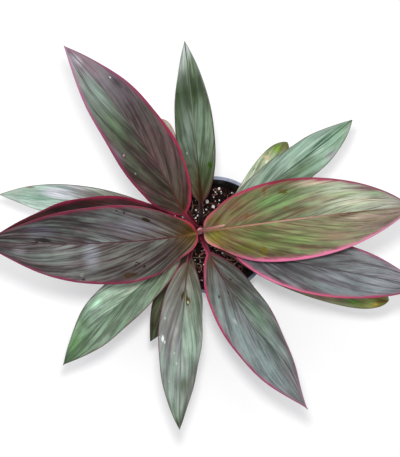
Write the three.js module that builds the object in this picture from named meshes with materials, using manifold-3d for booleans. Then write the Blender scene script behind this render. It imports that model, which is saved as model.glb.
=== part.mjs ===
// Potted ti plant: one cane with fifteen strap leaves and a furled young leaf, in a round nursery pot.
// Millimetres, +Z up. The origin is the centre of the pot's flat base, on the surface it stands on.

import * as THREE from "three";
import { mergeVertices } from "three/addons/utils/BufferGeometryUtils.js";
import Module from "manifold-3d";

// Driving dimensions

const pot = {
  height: 135,
  rimRadius: 80,
  rimBand: 4.8,
  lipHeight: 12,
  lipStep: 3,
  baseRadius: 57,
  wall: 2.2,
  floor: 3,
  sides: 48,
  drainHoles: 6,
  drainRadius: 5,
  drainCircle: 38,
};

const soil = {
  edgeHeight: 98,
  mound: 5,
  relief: 1.3,
  rings: 13,
  gap: 0.3,
  grains: 26,
  grainRadius: [1.7, 2.8],
};

const cane = {
  foot: [-10, 2],
  crown: [-17.6, 6],
  bottom: 58,
  straightFrom: 145,
  top: 245,
  footRadius: 7.5,
  neck: 215,
  neckRadius: 5,
  topRadius: 3,
  scarRise: 0.5,
  scarSpacing: 8,
  sides: 16,
  holeGap: 0.4,
};

// What all leaves share: a sheath that lies along the cane, a channelled stalk, and a blade
const growth = {
  sheath: 5,
  flare: 8,
  caneGap: 0.9,
  sheathHalfWidth: 3.9,
  stalkHalfWidth: 2.3,
  channel: 0.38,
  narrowing: 20,
  opening: 0.14,
  middle: 0.45,
  sheet: 0.9,
  keel: 1.5,
  keelWidth: 2.2,
  tipHalfWidth: 0.5,
  edgeLag: 0.37,
};

// Stations along and across a leaf, and the length of one step of its midrib
const mesh = {
  stalkSteps: 6,
  bladeSteps: 17,
  across: [-1, -0.62, -0.22, 0, 0.22, 0.62, 1],
  walk: 1,
};

// node: height of the leaf's foot on the cane. headings: compass angle of stalk, blade base and tip,
// from +X towards +Y. slopes: rise of stalk, blade base, middle and tip above level, in degrees.
// swell: how the outline opens from the base and closes to the tip. full: how flat its sides run.
// fold, arch: V of the two halves and droop of the margins, as parts of the half width.
// wave: height, number and phase of the waves along the margin.
const leaves = [
  {
    name: "leaf_left_large", colour: 0x6b5f63, node: 240, headings: [211, 188, 175],
    slopes: [95, 68, 14, 3], stalk: 23.5, blade: 246, width: 82, swell: [0.93, 1.25], full: 0.9,
    roll: 6, fold: -0.02, arch: 0.55, wave: [1.6, 3.0, 0.1],
  },
  {
    name: "leaf_right_large", colour: 0x7c7a52, node: 233, headings: [-3, 9, 5],
    slopes: [90, 80, 18, -22], stalk: 18, blade: 255, width: 83, swell: [0.81, 0.85], full: 0.45,
    roll: 0, fold: 0.12, arch: 0.41, wave: [1.4, 2.6, 0.4],
  },
  {
    name: "leaf_upper_left", colour: 0x66605c, node: 226, headings: [138.5, 114.5, 135.5],
    slopes: [69.5, 70, 24, 1], stalk: 55.5, blade: 226, width: 65.5, swell: [0.93, 1.02], full: 0.5,
    roll: 25, fold: 0.18, arch: 0.21, wave: [1.6, 2.8, 0.2],
  },
  {
    name: "leaf_right_lower", colour: 0x6c6670, node: 219, headings: [-38, -10, -12],
    slopes: [62, 35, 1, -22], stalk: 60, blade: 229, width: 60, swell: [0.9, 1.2], full: 0.5,
    roll: -4, fold: 0.27, arch: 0.28, wave: [1.8, 3.2, 0.7],
  },
  {
    name: "leaf_left_maroon", colour: 0x552a34, node: 212, headings: [145, 183.5, 191],
    slopes: [63, 42, -5.5, -23.5], stalk: 46.5, blade: 228, width: 61, swell: [0.95, 1.28], full: 0.12,
    roll: 7.5, fold: 0.26, arch: 0.3, wave: [2.2, 3.4, 0.3],
  },
  {
    name: "leaf_lower_right", colour: 0x6f6f70, node: 205, headings: [-72, -59.5, -55],
    slopes: [64, 49, 2, -16], stalk: 39.5, blade: 218.5, width: 61.5, swell: [1, 1.29], full: 0.73,
    roll: -20.5, fold: 0.25, arch: 0.35, wave: [1.6, 3.0, 0.5],
  },
  {
    name: "leaf_top", colour: 0x5f7060, node: 198, headings: [85.5, 95, 97],
    slopes: [62, 45, 5, -17], stalk: 48.5, blade: 190, width: 43.5, swell: [0.74, 1], full: 0.25,
    roll: -10, fold: 0.33, arch: 0.22, wave: [1.3, 3.3, 0.8],
  },
  {
    name: "leaf_bottom", colour: 0x748078, node: 191, headings: [-117, -95, -90],
    slopes: [60, 39, 4, -17], stalk: 54, blade: 197, width: 51, swell: [0.7, 0.97], full: 0.3,
    roll: -18, fold: 0.2, arch: 0.35, wave: [1.5, 3.6, 0.15],
  },
  {
    name: "leaf_upper_right", colour: 0x86a392, node: 184, headings: [28, 36, 39],
    slopes: [62, 38, 1, -25], stalk: 54, blade: 191, width: 48, swell: [0.8, 0.95], full: 0.7,
    roll: -23, fold: 0.25, arch: 0.3, wave: [1.4, 3.1, 0.6],
  },
  {
    name: "leaf_lower_left", colour: 0x7d9a86, node: 177, headings: [239, 215, 232],
    slopes: [62, 41, -6, -22], stalk: 48, blade: 206, width: 59, swell: [1.07, 1.12], full: 0.3,
    roll: 25, fold: 0.42, arch: 0.11, wave: [1.6, 2.9, 0.35],
  },
  {
    name: "leaf_upper_right_short", colour: 0x86a082, node: 170, headings: [30, 45, 51],
    slopes: [51, 15, -22, -34], stalk: 15, blade: 158, width: 31, swell: [1.55, 0.67], full: 0.35,
    roll: -3, fold: 0.28, arch: 0.26, wave: [1, 2.7, 0.5],
  },
  {
    name: "leaf_far_left", colour: 0x95a8a0, node: 163, headings: [167, 165, 177],
    slopes: [59, 32, -5, -24], stalk: 53, blade: 220, width: 42, swell: [0.76, 1.09], full: 0.8,
    roll: -4, fold: 0.28, arch: 0.26, wave: [1.4, 3.7, 0.2],
  },
  {
    name: "leaf_right_short", colour: 0x6f7f5c, node: 156, headings: [-48, -15, -17],
    slopes: [59, 30, -6, -18], stalk: 65, blade: 206, width: 45, swell: [0.96, 0.62], full: 0.8,
    roll: -3, fold: 0.28, arch: 0.26, wave: [1.4, 3.2, 0.9],
  },
  {
    name: "leaf_behind_upper_left", colour: 0x7e8a78, node: 149, headings: [126, 110.5, 102.5],
    slopes: [56, 30, -4, -27], stalk: 41.5, blade: 121, width: 34.5, swell: [0.93, 0.61], full: 1.24,
    roll: -10, fold: 0.29, arch: 0.23, wave: [1, 2.4, 0.4],
  },
  {
    name: "leaf_lower_left_cut", colour: 0x4c5546, node: 142, headings: [-117, -110, -104],
    slopes: [56, 31, -1, -16], stalk: 38, blade: 160, width: 48, swell: [0.73, 1.32], full: 0.5,
    roll: 2, fold: 0.28, arch: 0.26, wave: [1.2, 2.5, 0.1], cut: { at: 0.66, skew: 52 },
  },
];

// The young leaf, still rolled round itself, rises from the tip of the cane
const spear = {
  base: 245.5,
  length: 138,
  heading: 15,
  slopes: [90, 70],
  radius: 2.3,
  tipRadius: 0.7,
  lap: 0.28,
  sides: 14,
  steps: 16,
};

const wasm = await Module();
wasm.setup();

// Small helpers

function rad(degrees) {
  return THREE.MathUtils.degToRad(degrees);
}

// Straight lines through [x, y] pairs, level beyond both ends
function ramp(x, knots) {
  if (x <= knots[0][0]) {
    return knots[0][1];
  }
  for (let i = 1; i < knots.length; i += 1) {
    const [x0, y0] = knots[i - 1];
    const [x1, y1] = knots[i];
    if (x <= x1) {
      return y0 + ((y1 - y0) * (x - x0)) / (x1 - x0);
    }
  }
  return knots[knots.length - 1][1];
}

function ease(x) {
  return THREE.MathUtils.smoothstep(x, 0, 1);
}

function caneRadius(z) {
  const knots = [
    [soil.edgeHeight, cane.footRadius],
    [cane.neck, cane.neckRadius],
    [cane.top, cane.topRadius],
  ];
  return ramp(z, knots);
}

function caneCentre(z) {
  const t = THREE.MathUtils.smoothstep(z, soil.edgeHeight + soil.mound, cane.straightFrom);
  const x = THREE.MathUtils.lerp(cane.foot[0], cane.crown[0], t);
  const y = THREE.MathUtils.lerp(cane.foot[1], cane.crown[1], t);
  return new THREE.Vector3(x, y, z);
}

// A closed shape as a manifold: vertices are merged and the flat slivers at a lathe's axis dropped
function toSolid(geometry) {
  const bare = geometry.clone();
  bare.deleteAttribute("normal");
  bare.deleteAttribute("uv");
  const merged = mergeVertices(bare, 1e-4);
  const index = merged.index.array;
  const triangles = [];
  for (let i = 0; i < index.length; i += 3) {
    const [a, b, c] = [index[i], index[i + 1], index[i + 2]];
    if (a !== b && b !== c && c !== a) {
      triangles.push(a, b, c);
    }
  }
  const vertProperties = new Float32Array(merged.attributes.position.array);
  const triVerts = new Uint32Array(triangles);
  return new wasm.Manifold(new wasm.Mesh({ numProp: 3, vertProperties, triVerts }));
}

function fromSolid(solid) {
  const { vertProperties, triVerts } = solid.getMesh();
  const geometry = new THREE.BufferGeometry();
  geometry.setAttribute("position", new THREE.BufferAttribute(vertProperties, 3));
  geometry.setIndex(new THREE.BufferAttribute(triVerts, 1));
  return geometry;
}

// Rings of equal length joined into a tube with flat ends
function loft(rings) {
  const count = rings[0].length;
  const positions = rings.flat().flatMap((point) => point.toArray());
  const index = [];
  for (let i = 0; i < rings.length - 1; i += 1) {
    for (let j = 0; j < count; j += 1) {
      const k = (j + 1) % count;
      const [a, b, c, d] = [i * count + j, i * count + k, (i + 1) * count + k, (i + 1) * count + j];
      index.push(a, b, c, a, c, d);
    }
  }
  const last = (rings.length - 1) * count;
  for (let j = 1; j < count - 1; j += 1) {
    index.push(0, j + 1, j);
    index.push(last, last + j, last + j + 1);
  }
  const geometry = new THREE.BufferGeometry();
  geometry.setAttribute("position", new THREE.Float32BufferAttribute(positions, 3));
  geometry.setIndex(index);
  return geometry;
}

// A path that climbs and turns: the heading and the slope at a distance give its direction
function walkPath(start, length, slopeAt, headingAt) {
  const points = [start.clone()];
  const steps = Math.ceil(length / mesh.walk);
  const step = length / steps;
  for (let i = 0; i < steps; i += 1) {
    const middle = (i + 0.5) * step;
    points.push(points[i].clone().addScaledVector(direction(slopeAt(middle), headingAt(middle)), step));
  }
  return (distance) => {
    const place = THREE.MathUtils.clamp(distance / step, 0, steps - 1e-9);
    const i = Math.floor(place);
    return points[i].clone().lerp(points[i + 1], place - i);
  };
}

function direction(slope, heading) {
  const level = Math.cos(rad(slope));
  return new THREE.Vector3(
    level * Math.cos(rad(heading)),
    level * Math.sin(rad(heading)),
    Math.sin(rad(slope)),
  );
}

// Leaves

function leafPath(leaf) {
  const bladeStart = growth.sheath + growth.flare + leaf.stalk;
  const length = bladeStart + leaf.blade;
  const [stalkSlope, baseSlope, middleSlope, tipSlope] = leaf.slopes;
  const [stalkHeading, baseHeading, tipHeading] = leaf.headings;
  const slopeKnots = [
    [growth.sheath, 90],
    [growth.sheath + growth.flare, stalkSlope],
    [bladeStart - leaf.stalk / 2, stalkSlope],
    [bladeStart, baseSlope],
    [bladeStart + growth.middle * leaf.blade, middleSlope],
    [length, tipSlope],
  ];
  const headingKnots = [
    [growth.sheath + growth.flare, stalkHeading],
    [bladeStart + 0.1 * leaf.blade, baseHeading],
    [length, tipHeading],
  ];
  const slopeAt = (distance) => ramp(distance, slopeKnots);
  const headingAt = (distance) => ramp(distance, headingKnots);
  const start = caneCentre(leaf.node);
  start.addScaledVector(direction(0, stalkHeading), caneRadius(leaf.node) + growth.caneGap);
  const pointAt = walkPath(start, length, slopeAt, headingAt);
  return { bladeStart, length, slopeAt, headingAt, pointAt };
}

function halfWidth(leaf, distance, u) {
  const [open, close] = leaf.swell;
  const widest = open / (open + close);
  const outline = (u / widest) ** open * ((1 - u) / (1 - widest)) ** close;
  const blade = (0.5 * leaf.width * Math.tanh(leaf.full * outline)) / Math.tanh(leaf.full);
  const knots = [[0, growth.sheathHalfWidth], [growth.narrowing, growth.stalkHalfWidth]];
  const stalk = ramp(distance, knots) * (1 - u) ** 1.5;
  return Math.hypot(blade, stalk, growth.tipHalfWidth);
}

// The middle surface of a leaf at a distance along it and a place from -1 to 1 across it
function leafPoint(leaf, path, distance, across) {
  const u = THREE.MathUtils.clamp((distance - path.bladeStart) / leaf.blade, 0, 1);
  const half = halfWidth(leaf, distance, u);
  const open = ease(u / growth.opening);
  const heading = path.headingAt(distance);
  const along = direction(path.slopeAt(distance), heading);
  const side = direction(0, heading + 90);
  const up = along.clone().cross(side);
  const bladeRise = half * (leaf.fold * (1 - 0.5 * u) * Math.abs(across) - leaf.arch * across ** 2);
  const stalkRise = half * growth.channel * across ** 2;
  const [height, count, phase] = leaf.wave;
  const lag = across > 0 ? growth.edgeLag : 0;
  const ripple = Math.sin(2 * Math.PI * (count * u + phase + lag)) * Math.sin(Math.PI * u);
  const rise = open * (bladeRise + height * across ** 2 * ripple) + (1 - open) * stalkRise;
  const roll = rad(leaf.roll) * Math.min(u / 0.3, 1);
  const point = path.pointAt(distance);
  point.addScaledVector(side, half * across * Math.cos(roll) - rise * Math.sin(roll));
  point.addScaledVector(up, half * across * Math.sin(roll) + rise * Math.cos(roll));
  return point;
}

function leafNormal(leaf, path, distance, across) {
  const d = 0.5;
  const e = 0.02;
  const ahead = leafPoint(leaf, path, distance + d, across);
  const behind = leafPoint(leaf, path, distance - d, across);
  const left = leafPoint(leaf, path, distance, Math.min(across + e, 1));
  const right = leafPoint(leaf, path, distance, Math.max(across - e, -1));
  return ahead.sub(behind).cross(left.sub(right)).normalize();
}

// Upper and lower faces share one pattern of triangles, and a keel runs under the midrib
function makeLeaf(leaf) {
  const path = leafPath(leaf);
  const distances = [];
  for (let i = 0; i < mesh.stalkSteps; i += 1) {
    distances.push((path.bladeStart * i) / mesh.stalkSteps);
  }
  for (let i = 0; i <= mesh.bladeSteps; i += 1) {
    distances.push(path.bladeStart + (leaf.blade * i) / mesh.bladeSteps);
  }
  const columns = mesh.across.length;
  const rings = distances.map((distance) => {
    const upper = [];
    const lower = [];
    const u = THREE.MathUtils.clamp((distance - path.bladeStart) / leaf.blade, 0, 1);
    const half = halfWidth(leaf, distance, u);
    mesh.across.forEach((across) => {
      const inside = THREE.MathUtils.clamp(distance, 0.5, path.length - 0.5);
      const normal = leafNormal(leaf, path, inside, across);
      const middle = leafPoint(leaf, path, distance, across);
      const keel = growth.keel * (1 - 0.8 * u) * Math.exp(-((across * half / growth.keelWidth) ** 2));
      upper.push(middle.clone().addScaledVector(normal, growth.sheet / 2));
      lower.push(middle.clone().addScaledVector(normal, -growth.sheet / 2 - keel));
    });
    return upper.concat(lower.reverse());
  });
  const positions = rings.flat().flatMap((point) => point.toArray());
  const index = leafTriangles(rings.length, columns);
  const geometry = new THREE.BufferGeometry();
  geometry.setAttribute("position", new THREE.Float32BufferAttribute(positions, 3));
  geometry.setIndex(index);
  return leaf.cut ? cutTip(leaf, path, geometry) : geometry;
}

function leafTriangles(stations, columns) {
  const index = [];
  const upper = (i, j) => i * 2 * columns + j;
  const lower = (i, j) => (i + 1) * 2 * columns - 1 - j;
  for (let i = 0; i < stations - 1; i += 1) {
    for (let j = 0; j < columns - 1; j += 1) {
      index.push(upper(i, j), upper(i + 1, j), upper(i + 1, j + 1));
      index.push(upper(i, j), upper(i + 1, j + 1), upper(i, j + 1));
      index.push(lower(i, j), lower(i + 1, j + 1), lower(i + 1, j));
      index.push(lower(i, j), lower(i, j + 1), lower(i + 1, j + 1));
    }
    const j = columns - 1;
    index.push(lower(i, 0), lower(i + 1, 0), upper(i + 1, 0));
    index.push(lower(i, 0), upper(i + 1, 0), upper(i, 0));
    index.push(upper(i, j), upper(i + 1, j), lower(i + 1, j));
    index.push(upper(i, j), lower(i + 1, j), lower(i, j));
  }
  const i = stations - 1;
  for (let j = 0; j < columns - 1; j += 1) {
    index.push(upper(0, j), upper(0, j + 1), lower(0, j + 1));
    index.push(upper(0, j), lower(0, j + 1), lower(0, j));
    index.push(upper(i, j), lower(i, j + 1), upper(i, j + 1));
    index.push(upper(i, j), lower(i, j), lower(i, j + 1));
  }
  return index;
}

// A slanting snip takes off the end of a leaf
function cutTip(leaf, path, geometry) {
  const size = leaf.blade;
  const distance = path.bladeStart + leaf.cut.at * leaf.blade;
  const heading = path.headingAt(distance) + leaf.cut.skew;
  const centre = path.pointAt(distance).addScaledVector(direction(0, heading), size / 2);
  const block = new THREE.BoxGeometry(size, size, size);
  block.rotateZ(rad(heading));
  block.translate(centre.x, centre.y, centre.z);
  return fromSolid(toSolid(geometry).subtract(toSolid(block)));
}

// The rolled young leaf: a tapering tube whose outer edge laps over itself in one step
function makeSpear() {
  const [baseSlope, tipSlope] = spear.slopes;
  const slopeAt = (distance) => THREE.MathUtils.lerp(baseSlope, tipSlope, distance / spear.length);
  const headingAt = () => spear.heading;
  const start = caneCentre(cane.top).setZ(spear.base);
  const pointAt = walkPath(start, spear.length, slopeAt, headingAt);
  const side = direction(0, spear.heading + 90);
  const rings = [];
  for (let i = 0; i <= spear.steps; i += 1) {
    const u = i / spear.steps;
    const radius = THREE.MathUtils.lerp(spear.tipRadius, spear.radius, (1 - u) ** 0.7 * (0.82 + 0.9 * u));
    const up = direction(slopeAt(u * spear.length) - 90, spear.heading);
    const ring = [];
    for (let j = 0; j < spear.sides; j += 1) {
      const turn = j / spear.sides;
      const reach = radius * (1 - spear.lap / 2 + spear.lap * turn);
      const angle = 2 * Math.PI * turn + 0.8 * u;
      const point = pointAt(u * spear.length);
      point.addScaledVector(up, reach * Math.cos(angle));
      point.addScaledVector(side, reach * Math.sin(angle));
      ring.push(point);
    }
    rings.push(ring);
  }
  return loft(rings);
}

// Cane: a slightly leaning stem, with the scars of fallen leaves round its bare foot
function makeCane() {
  const rings = [];
  const heights = [cane.bottom];
  for (let z = soil.edgeHeight - 4; z < cane.straightFrom; z += cane.scarSpacing) {
    heights.push(z, z + cane.scarSpacing * 0.35, z + cane.scarSpacing * 0.5);
  }
  for (let z = cane.straightFrom + 10; z < cane.top; z += 18) {
    heights.push(z);
  }
  heights.push(cane.top);
  heights.forEach((z) => {
    const centre = caneCentre(z);
    const onScar = (z - soil.edgeHeight + 4) % cane.scarSpacing;
    const bare = z > soil.edgeHeight - 5 && z < cane.straightFrom - cane.scarSpacing;
    const rise = bare && onScar > 0 && onScar < cane.scarSpacing * 0.4 ? cane.scarRise : 0;
    const ring = [];
    for (let j = 0; j < cane.sides; j += 1) {
      const angle = (2 * Math.PI * j) / cane.sides;
      const radius = caneRadius(z) + rise;
      ring.push(centre.clone().add(new THREE.Vector3(radius * Math.cos(angle), radius * Math.sin(angle), 0)));
    }
    rings.push(ring);
  });
  return loft(rings);
}

// Pot and soil

function innerRadius(z) {
  return outerRadius(z) - pot.wall;
}

function outerRadius(z) {
  const underLip = pot.rimRadius - pot.lipStep;
  return THREE.MathUtils.lerp(pot.baseRadius, underLip, z / (pot.height - pot.lipHeight));
}

function upright(profile) {
  const lathe = new THREE.LatheGeometry(profile.map(([r, z]) => new THREE.Vector2(r, z)), pot.sides);
  lathe.rotateX(Math.PI / 2);
  return lathe;
}

// Lip with two fine ridges round its top face, side wall, and a floor with drain holes
function makePot() {
  const lipFoot = pot.height - pot.lipHeight;
  const rimInner = pot.rimRadius - pot.rimBand;
  const groove = 0.5;
  const band = (part) => pot.rimRadius - pot.rimBand * part;
  const profile = [
    [0, 0],
    [pot.baseRadius - 2, 0],
    [pot.baseRadius, 2],
    [outerRadius(lipFoot), lipFoot],
    [pot.rimRadius - 0.6, lipFoot],
    [pot.rimRadius, lipFoot + 0.8],
    [pot.rimRadius, pot.height - 1.4],
    [band(0.12), pot.height - 0.3],
    [band(0.26), pot.height],
    [band(0.42), pot.height - groove],
    [band(0.58), pot.height],
    [band(0.84), pot.height - 0.2],
    [rimInner, pot.height - 1.2],
    [innerRadius(lipFoot), lipFoot - 2],
    [innerRadius(pot.floor), pot.floor],
    [0, pot.floor],
  ];
  let solid = toSolid(upright(profile));
  for (let i = 0; i < pot.drainHoles; i += 1) {
    const angle = (2 * Math.PI * (i + 0.5)) / pot.drainHoles;
    const hole = new THREE.CylinderGeometry(pot.drainRadius, pot.drainRadius, 4 * pot.floor, 16);
    hole.rotateX(Math.PI / 2);
    hole.translate(pot.drainCircle * Math.cos(angle), pot.drainCircle * Math.sin(angle), 0);
    solid = solid.subtract(toSolid(hole));
  }
  return fromSolid(solid);
}

function soilHeight(x, y) {
  const edge = innerRadius(soil.edgeHeight);
  const dome = soil.mound * (1 - Math.min(Math.hypot(x, y) / edge, 1) ** 2);
  const swells = Math.sin(x * 0.21 + 1.3) * Math.cos(y * 0.17) + Math.sin((x + y) * 0.37) * 0.6;
  const crumbs = Math.sin(x * 0.53 + 2) * Math.sin(y * 0.47 + 0.4);
  return soil.edgeHeight + dome + soil.relief * (swells + crumbs) / 2;
}

// Soil fills the pot, with a plain hole for the cane and grains of perlite bedded in its top
function makeSoil() {
  const foot = pot.floor + soil.gap;
  const edge = innerRadius(soil.edgeHeight) - soil.gap;
  const profile = [[0, foot], [innerRadius(foot) - soil.gap, foot]];
  for (let i = soil.rings; i >= 0; i -= 1) {
    profile.push([(edge * i) / soil.rings, soil.edgeHeight]);
  }
  const body = upright(profile);
  const position = body.attributes.position;
  for (let i = 0; i < position.count; i += 1) {
    if (position.getZ(i) > soil.edgeHeight - 1) {
      const [x, y] = [position.getX(i), position.getY(i)];
      const inward = ease((edge - Math.hypot(x, y)) / 6);
      position.setZ(i, THREE.MathUtils.lerp(soil.edgeHeight, soilHeight(x, y), inward));
    }
  }
  const depth = soil.edgeHeight + 2 * soil.mound - cane.bottom + cane.holeGap;
  const holeRadius = cane.footRadius + cane.scarRise + cane.holeGap;
  const hole = new THREE.CylinderGeometry(holeRadius, holeRadius, depth, 24);
  hole.rotateX(Math.PI / 2);
  hole.translate(cane.foot[0], cane.foot[1], cane.bottom - cane.holeGap + depth / 2);
  let solid = toSolid(body).subtract(toSolid(hole));
  THREE.MathUtils.seededRandom(11);
  for (let i = 0; i < soil.grains; i += 1) {
    const angle = 2 * Math.PI * THREE.MathUtils.seededRandom();
    const distance = Math.sqrt(THREE.MathUtils.seededRandom()) * (edge - 8);
    const size = THREE.MathUtils.lerp(...soil.grainRadius, THREE.MathUtils.seededRandom());
    const [x, y] = [distance * Math.cos(angle), distance * Math.sin(angle)];
    const fromCane = Math.hypot(x - cane.foot[0], y - cane.foot[1]);
    if (fromCane > holeRadius + 2 * size) {
      const grain = new THREE.IcosahedronGeometry(size, 0);
      grain.rotateX(angle);
      grain.rotateZ(size);
      grain.translate(x, y, soilHeight(x, y) - 0.1 * size);
      solid = solid.add(toSolid(grain));
    }
  }
  return fromSolid(solid);
}

// The plant in its pot

function piece(name, geometry, colour, roughness) {
  const material = new THREE.MeshStandardMaterial({ color: colour, roughness, metalness: 0 });
  const part = new THREE.Mesh(geometry, material);
  part.name = name;
  return part;
}

const plant = new THREE.Group();
plant.add(piece("pot", makePot(), 0x23262b, 0.45));
plant.add(piece("soil", makeSoil(), 0x2a1a15, 0.95));
plant.add(piece("cane", makeCane(), 0x6e5c42, 0.8));
leaves.forEach((leaf) => {
  plant.add(piece(leaf.name, makeLeaf(leaf), leaf.colour, 0.5));
});
plant.add(piece("leaf_furled", makeSpear(), 0xb9788a, 0.5));

export default plant;
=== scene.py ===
import math

import bmesh
import bpy
import numpy as np
from mathutils import Matrix, Vector, noise


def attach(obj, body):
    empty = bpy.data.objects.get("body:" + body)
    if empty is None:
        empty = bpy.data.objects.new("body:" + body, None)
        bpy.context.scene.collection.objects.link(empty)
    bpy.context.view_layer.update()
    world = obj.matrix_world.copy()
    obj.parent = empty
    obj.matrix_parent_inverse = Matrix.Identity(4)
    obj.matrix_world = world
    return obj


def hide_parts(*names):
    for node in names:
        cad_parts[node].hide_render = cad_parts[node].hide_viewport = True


# A potted ti plant, seen from straight above. Shapes are worked out in millimetres, Z up, in the frame
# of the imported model, and turned into metres when a mesh is made.

print("loading the packed model")
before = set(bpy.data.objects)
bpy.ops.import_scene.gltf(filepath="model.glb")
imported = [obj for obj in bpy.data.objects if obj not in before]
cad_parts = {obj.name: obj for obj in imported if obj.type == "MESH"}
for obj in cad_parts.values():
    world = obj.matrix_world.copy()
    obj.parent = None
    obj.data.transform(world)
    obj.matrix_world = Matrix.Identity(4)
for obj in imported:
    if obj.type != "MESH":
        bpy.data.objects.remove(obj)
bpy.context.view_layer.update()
mm = 0.001


# Camera, floor and lights

studio = {
    "cameraOver": (-17.6, 8.8),      # the spot of the floor straight below the lens
    "cameraHeight": 935,
    "focalPixels": 590,              # focal length in pixels of the 400 x 457 picture
    "pictureHeight": 457,
    "sensor": 36,
    "floorSize": 9000,
    "floorSquares": 12,
    "floorColour": "f4f4f4",
    "floorRoughness": 0.9,
    "specular": 0.5,
    "skyColour": "fbfbfd",
    "skyStrength": 0.74,
    "keyLamp": {"at": (-20, 45, 860), "aim": (-10, 10, 0), "size": 42, "watts": 3.25, "mirrored": False},
    "softbox": {"at": (-300, 700, 2300), "aim": (0, 0, 200), "size": 1300, "watts": 14, "mirrored": True},
}


def linear(hexColour):
    parts = [int(hexColour[i:i + 2], 16) / 255 for i in (0, 2, 4)]
    return [p / 12.92 if p <= 0.04045 else ((p + 0.055) / 1.055) ** 2.4 for p in parts] + [1.0]


def ease(x, low=0.0, high=1.0):
    t = np.clip((x - low) / (high - low), 0, 1)
    return t * t * (3 - 2 * t)


def putInScene(name, data):
    thing = bpy.data.objects.new(name, data)
    bpy.context.scene.collection.objects.link(thing)
    return thing


def placeCamera():
    lens = bpy.data.cameras.new("camera")
    lens.sensor_width = studio["sensor"]
    lens.lens = studio["sensor"] * studio["focalPixels"] / studio["pictureHeight"]
    lens.clip_start = 0.01
    camera = putInScene("camera", lens)
    camera.location = Vector((*studio["cameraOver"], studio["cameraHeight"])) * mm
    bpy.context.scene.camera = camera


def addSoftLight(name):
    light = studio[name]
    lamp = bpy.data.lights.new(name, "AREA")
    lamp.shape = "DISK"
    lamp.size = light["size"] * mm
    lamp.energy = light["watts"]
    holder = putInScene(name, lamp)
    holder.location = Vector(light["at"]) * mm
    toTarget = Vector(light["aim"]) - Vector(light["at"])
    holder.rotation_euler = toTarget.to_track_quat("-Z", "Y").to_euler()
    holder.visible_glossy = light["mirrored"]


def setSky():
    world = bpy.data.worlds.new("sky")
    bpy.context.scene.world = world
    world.use_nodes = True
    background = world.node_tree.nodes["Background"]
    background.inputs["Color"].default_value = linear(studio["skyColour"])
    background.inputs["Strength"].default_value = studio["skyStrength"]
    bpy.context.scene.view_settings.view_transform = "Standard"


# A material and its node tree, with short ways to add the nodes that the finishes share
class FinishBench:
    def __init__(self, name):
        self.material = bpy.data.materials.new(name)
        self.material.use_nodes = True
        self.tree = self.material.node_tree
        self.tree.nodes.clear()
        self.shader = self.tree.nodes.new("ShaderNodeBsdfPrincipled")
        output = self.tree.nodes.new("ShaderNodeOutputMaterial")
        self.tree.links.new(self.shader.outputs["BSDF"], output.inputs["Surface"])

    def feed(self, socket, value):
        if isinstance(value, bpy.types.NodeSocket):
            self.tree.links.new(value, socket)
        elif socket.type == "VECTOR" and len(value) == 4:
            socket.default_value = value[:3]
        else:
            socket.default_value = value

    def add(self, kind, values, **settings):
        node = self.tree.nodes.new("ShaderNode" + kind)
        for key, value in settings.items():
            setattr(node, key, value)
        for key, value in values.items():
            self.feed(node.inputs[key], value)
        return node

    def attribute(self, name):
        return self.add("Attribute", {}, attribute_type="GEOMETRY", attribute_name=name).outputs["Fac"]

    def where(self):
        return self.add("TexCoord", {}).outputs["Object"]

    def maths(self, operation, first, second=0.0):
        return self.add("Math", {0: first, 1: second}, operation=operation).outputs[0]

    def times(self, first, second):
        return self.maths("MULTIPLY", first, second)

    def plus(self, first, second):
        return self.maths("ADD", first, second)

    def remap(self, value, low, high, toLow=0.0, toHigh=1.0):
        values = {"Value": value, "From Min": low, "From Max": high, "To Min": toLow, "To Max": toHigh}
        return self.add("MapRange", values, interpolation_type="SMOOTHSTEP").outputs["Result"]

    def vary(self, cloud, low, high):      # most of a cloud texture lies between 0.3 and 0.7
        return self.remap(cloud, 0.3, 0.7, low, high)

    def place(self, x, y, z=0.0):
        return self.add("CombineXYZ", {"X": x, "Y": y, "Z": z}).outputs[0]

    def clouds(self, where, scale, detail=2.0, roughness=0.5):
        values = {"Vector": where, "Scale": scale, "Detail": detail, "Roughness": roughness}
        return self.add("TexNoise", values).outputs["Fac"]

    def blend(self, mask, first, second):      # 6, 7 and 2 are the sockets that carry colour
        return self.add("Mix", {0: mask, 6: first, 7: second}, data_type="RGBA").outputs[2]

    def shade(self, colour, factor):
        return self.add("VectorMath", {0: colour, "Scale": factor}, operation="SCALE").outputs[0]

    def ramp(self, value, stops):
        node = self.add("ValToRGB", {"Fac": value})
        elements = node.color_ramp.elements
        while len(elements) < len(stops):
            elements.new(0.5)
        for element, (position, colour) in zip(elements, sorted(stops)):
            element.position = position
            element.color = colour
        return node.outputs["Color"]

    def complete(self, colour, roughness, look, relief=None):      # the last step of every finish
        values = {"Base Color": colour, "Roughness": roughness, "Specular IOR Level": look["specular"]}
        if relief is not None:
            strength, depth = look["bump"]
            bump = {"Height": relief, "Strength": strength, "Distance": depth * mm}
            values["Normal"] = self.add("Bump", bump).outputs["Normal"]
        for key, value in values.items():
            self.feed(self.shader.inputs[key], value)
        return self.material


# Meshes are put together from arrays of points in millimetres
def makePiece(name, points, faces, material, attributes=None):
    mesh = bpy.data.meshes.new(name)
    mesh.from_pydata((np.asarray(points) * mm).tolist(), [], faces)
    for key, values in (attributes or {}).items():
        layer = mesh.attributes.new(key, "FLOAT", "POINT")
        layer.data.foreach_set("value", np.asarray(values, np.float32).ravel())
    mesh.materials.append(material)
    mesh.shade_smooth()
    return putInScene(name, mesh)


def mountPiece(piece, slotName, *nodes):
    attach(piece, "root")
    if nodes:
        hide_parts(*nodes)


def ringPoints(radius, z, sides):
    turns = np.arange(sides) * 2 * math.pi / sides
    return [(radius * math.cos(t), radius * math.sin(t), z) for t in turns]


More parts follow.
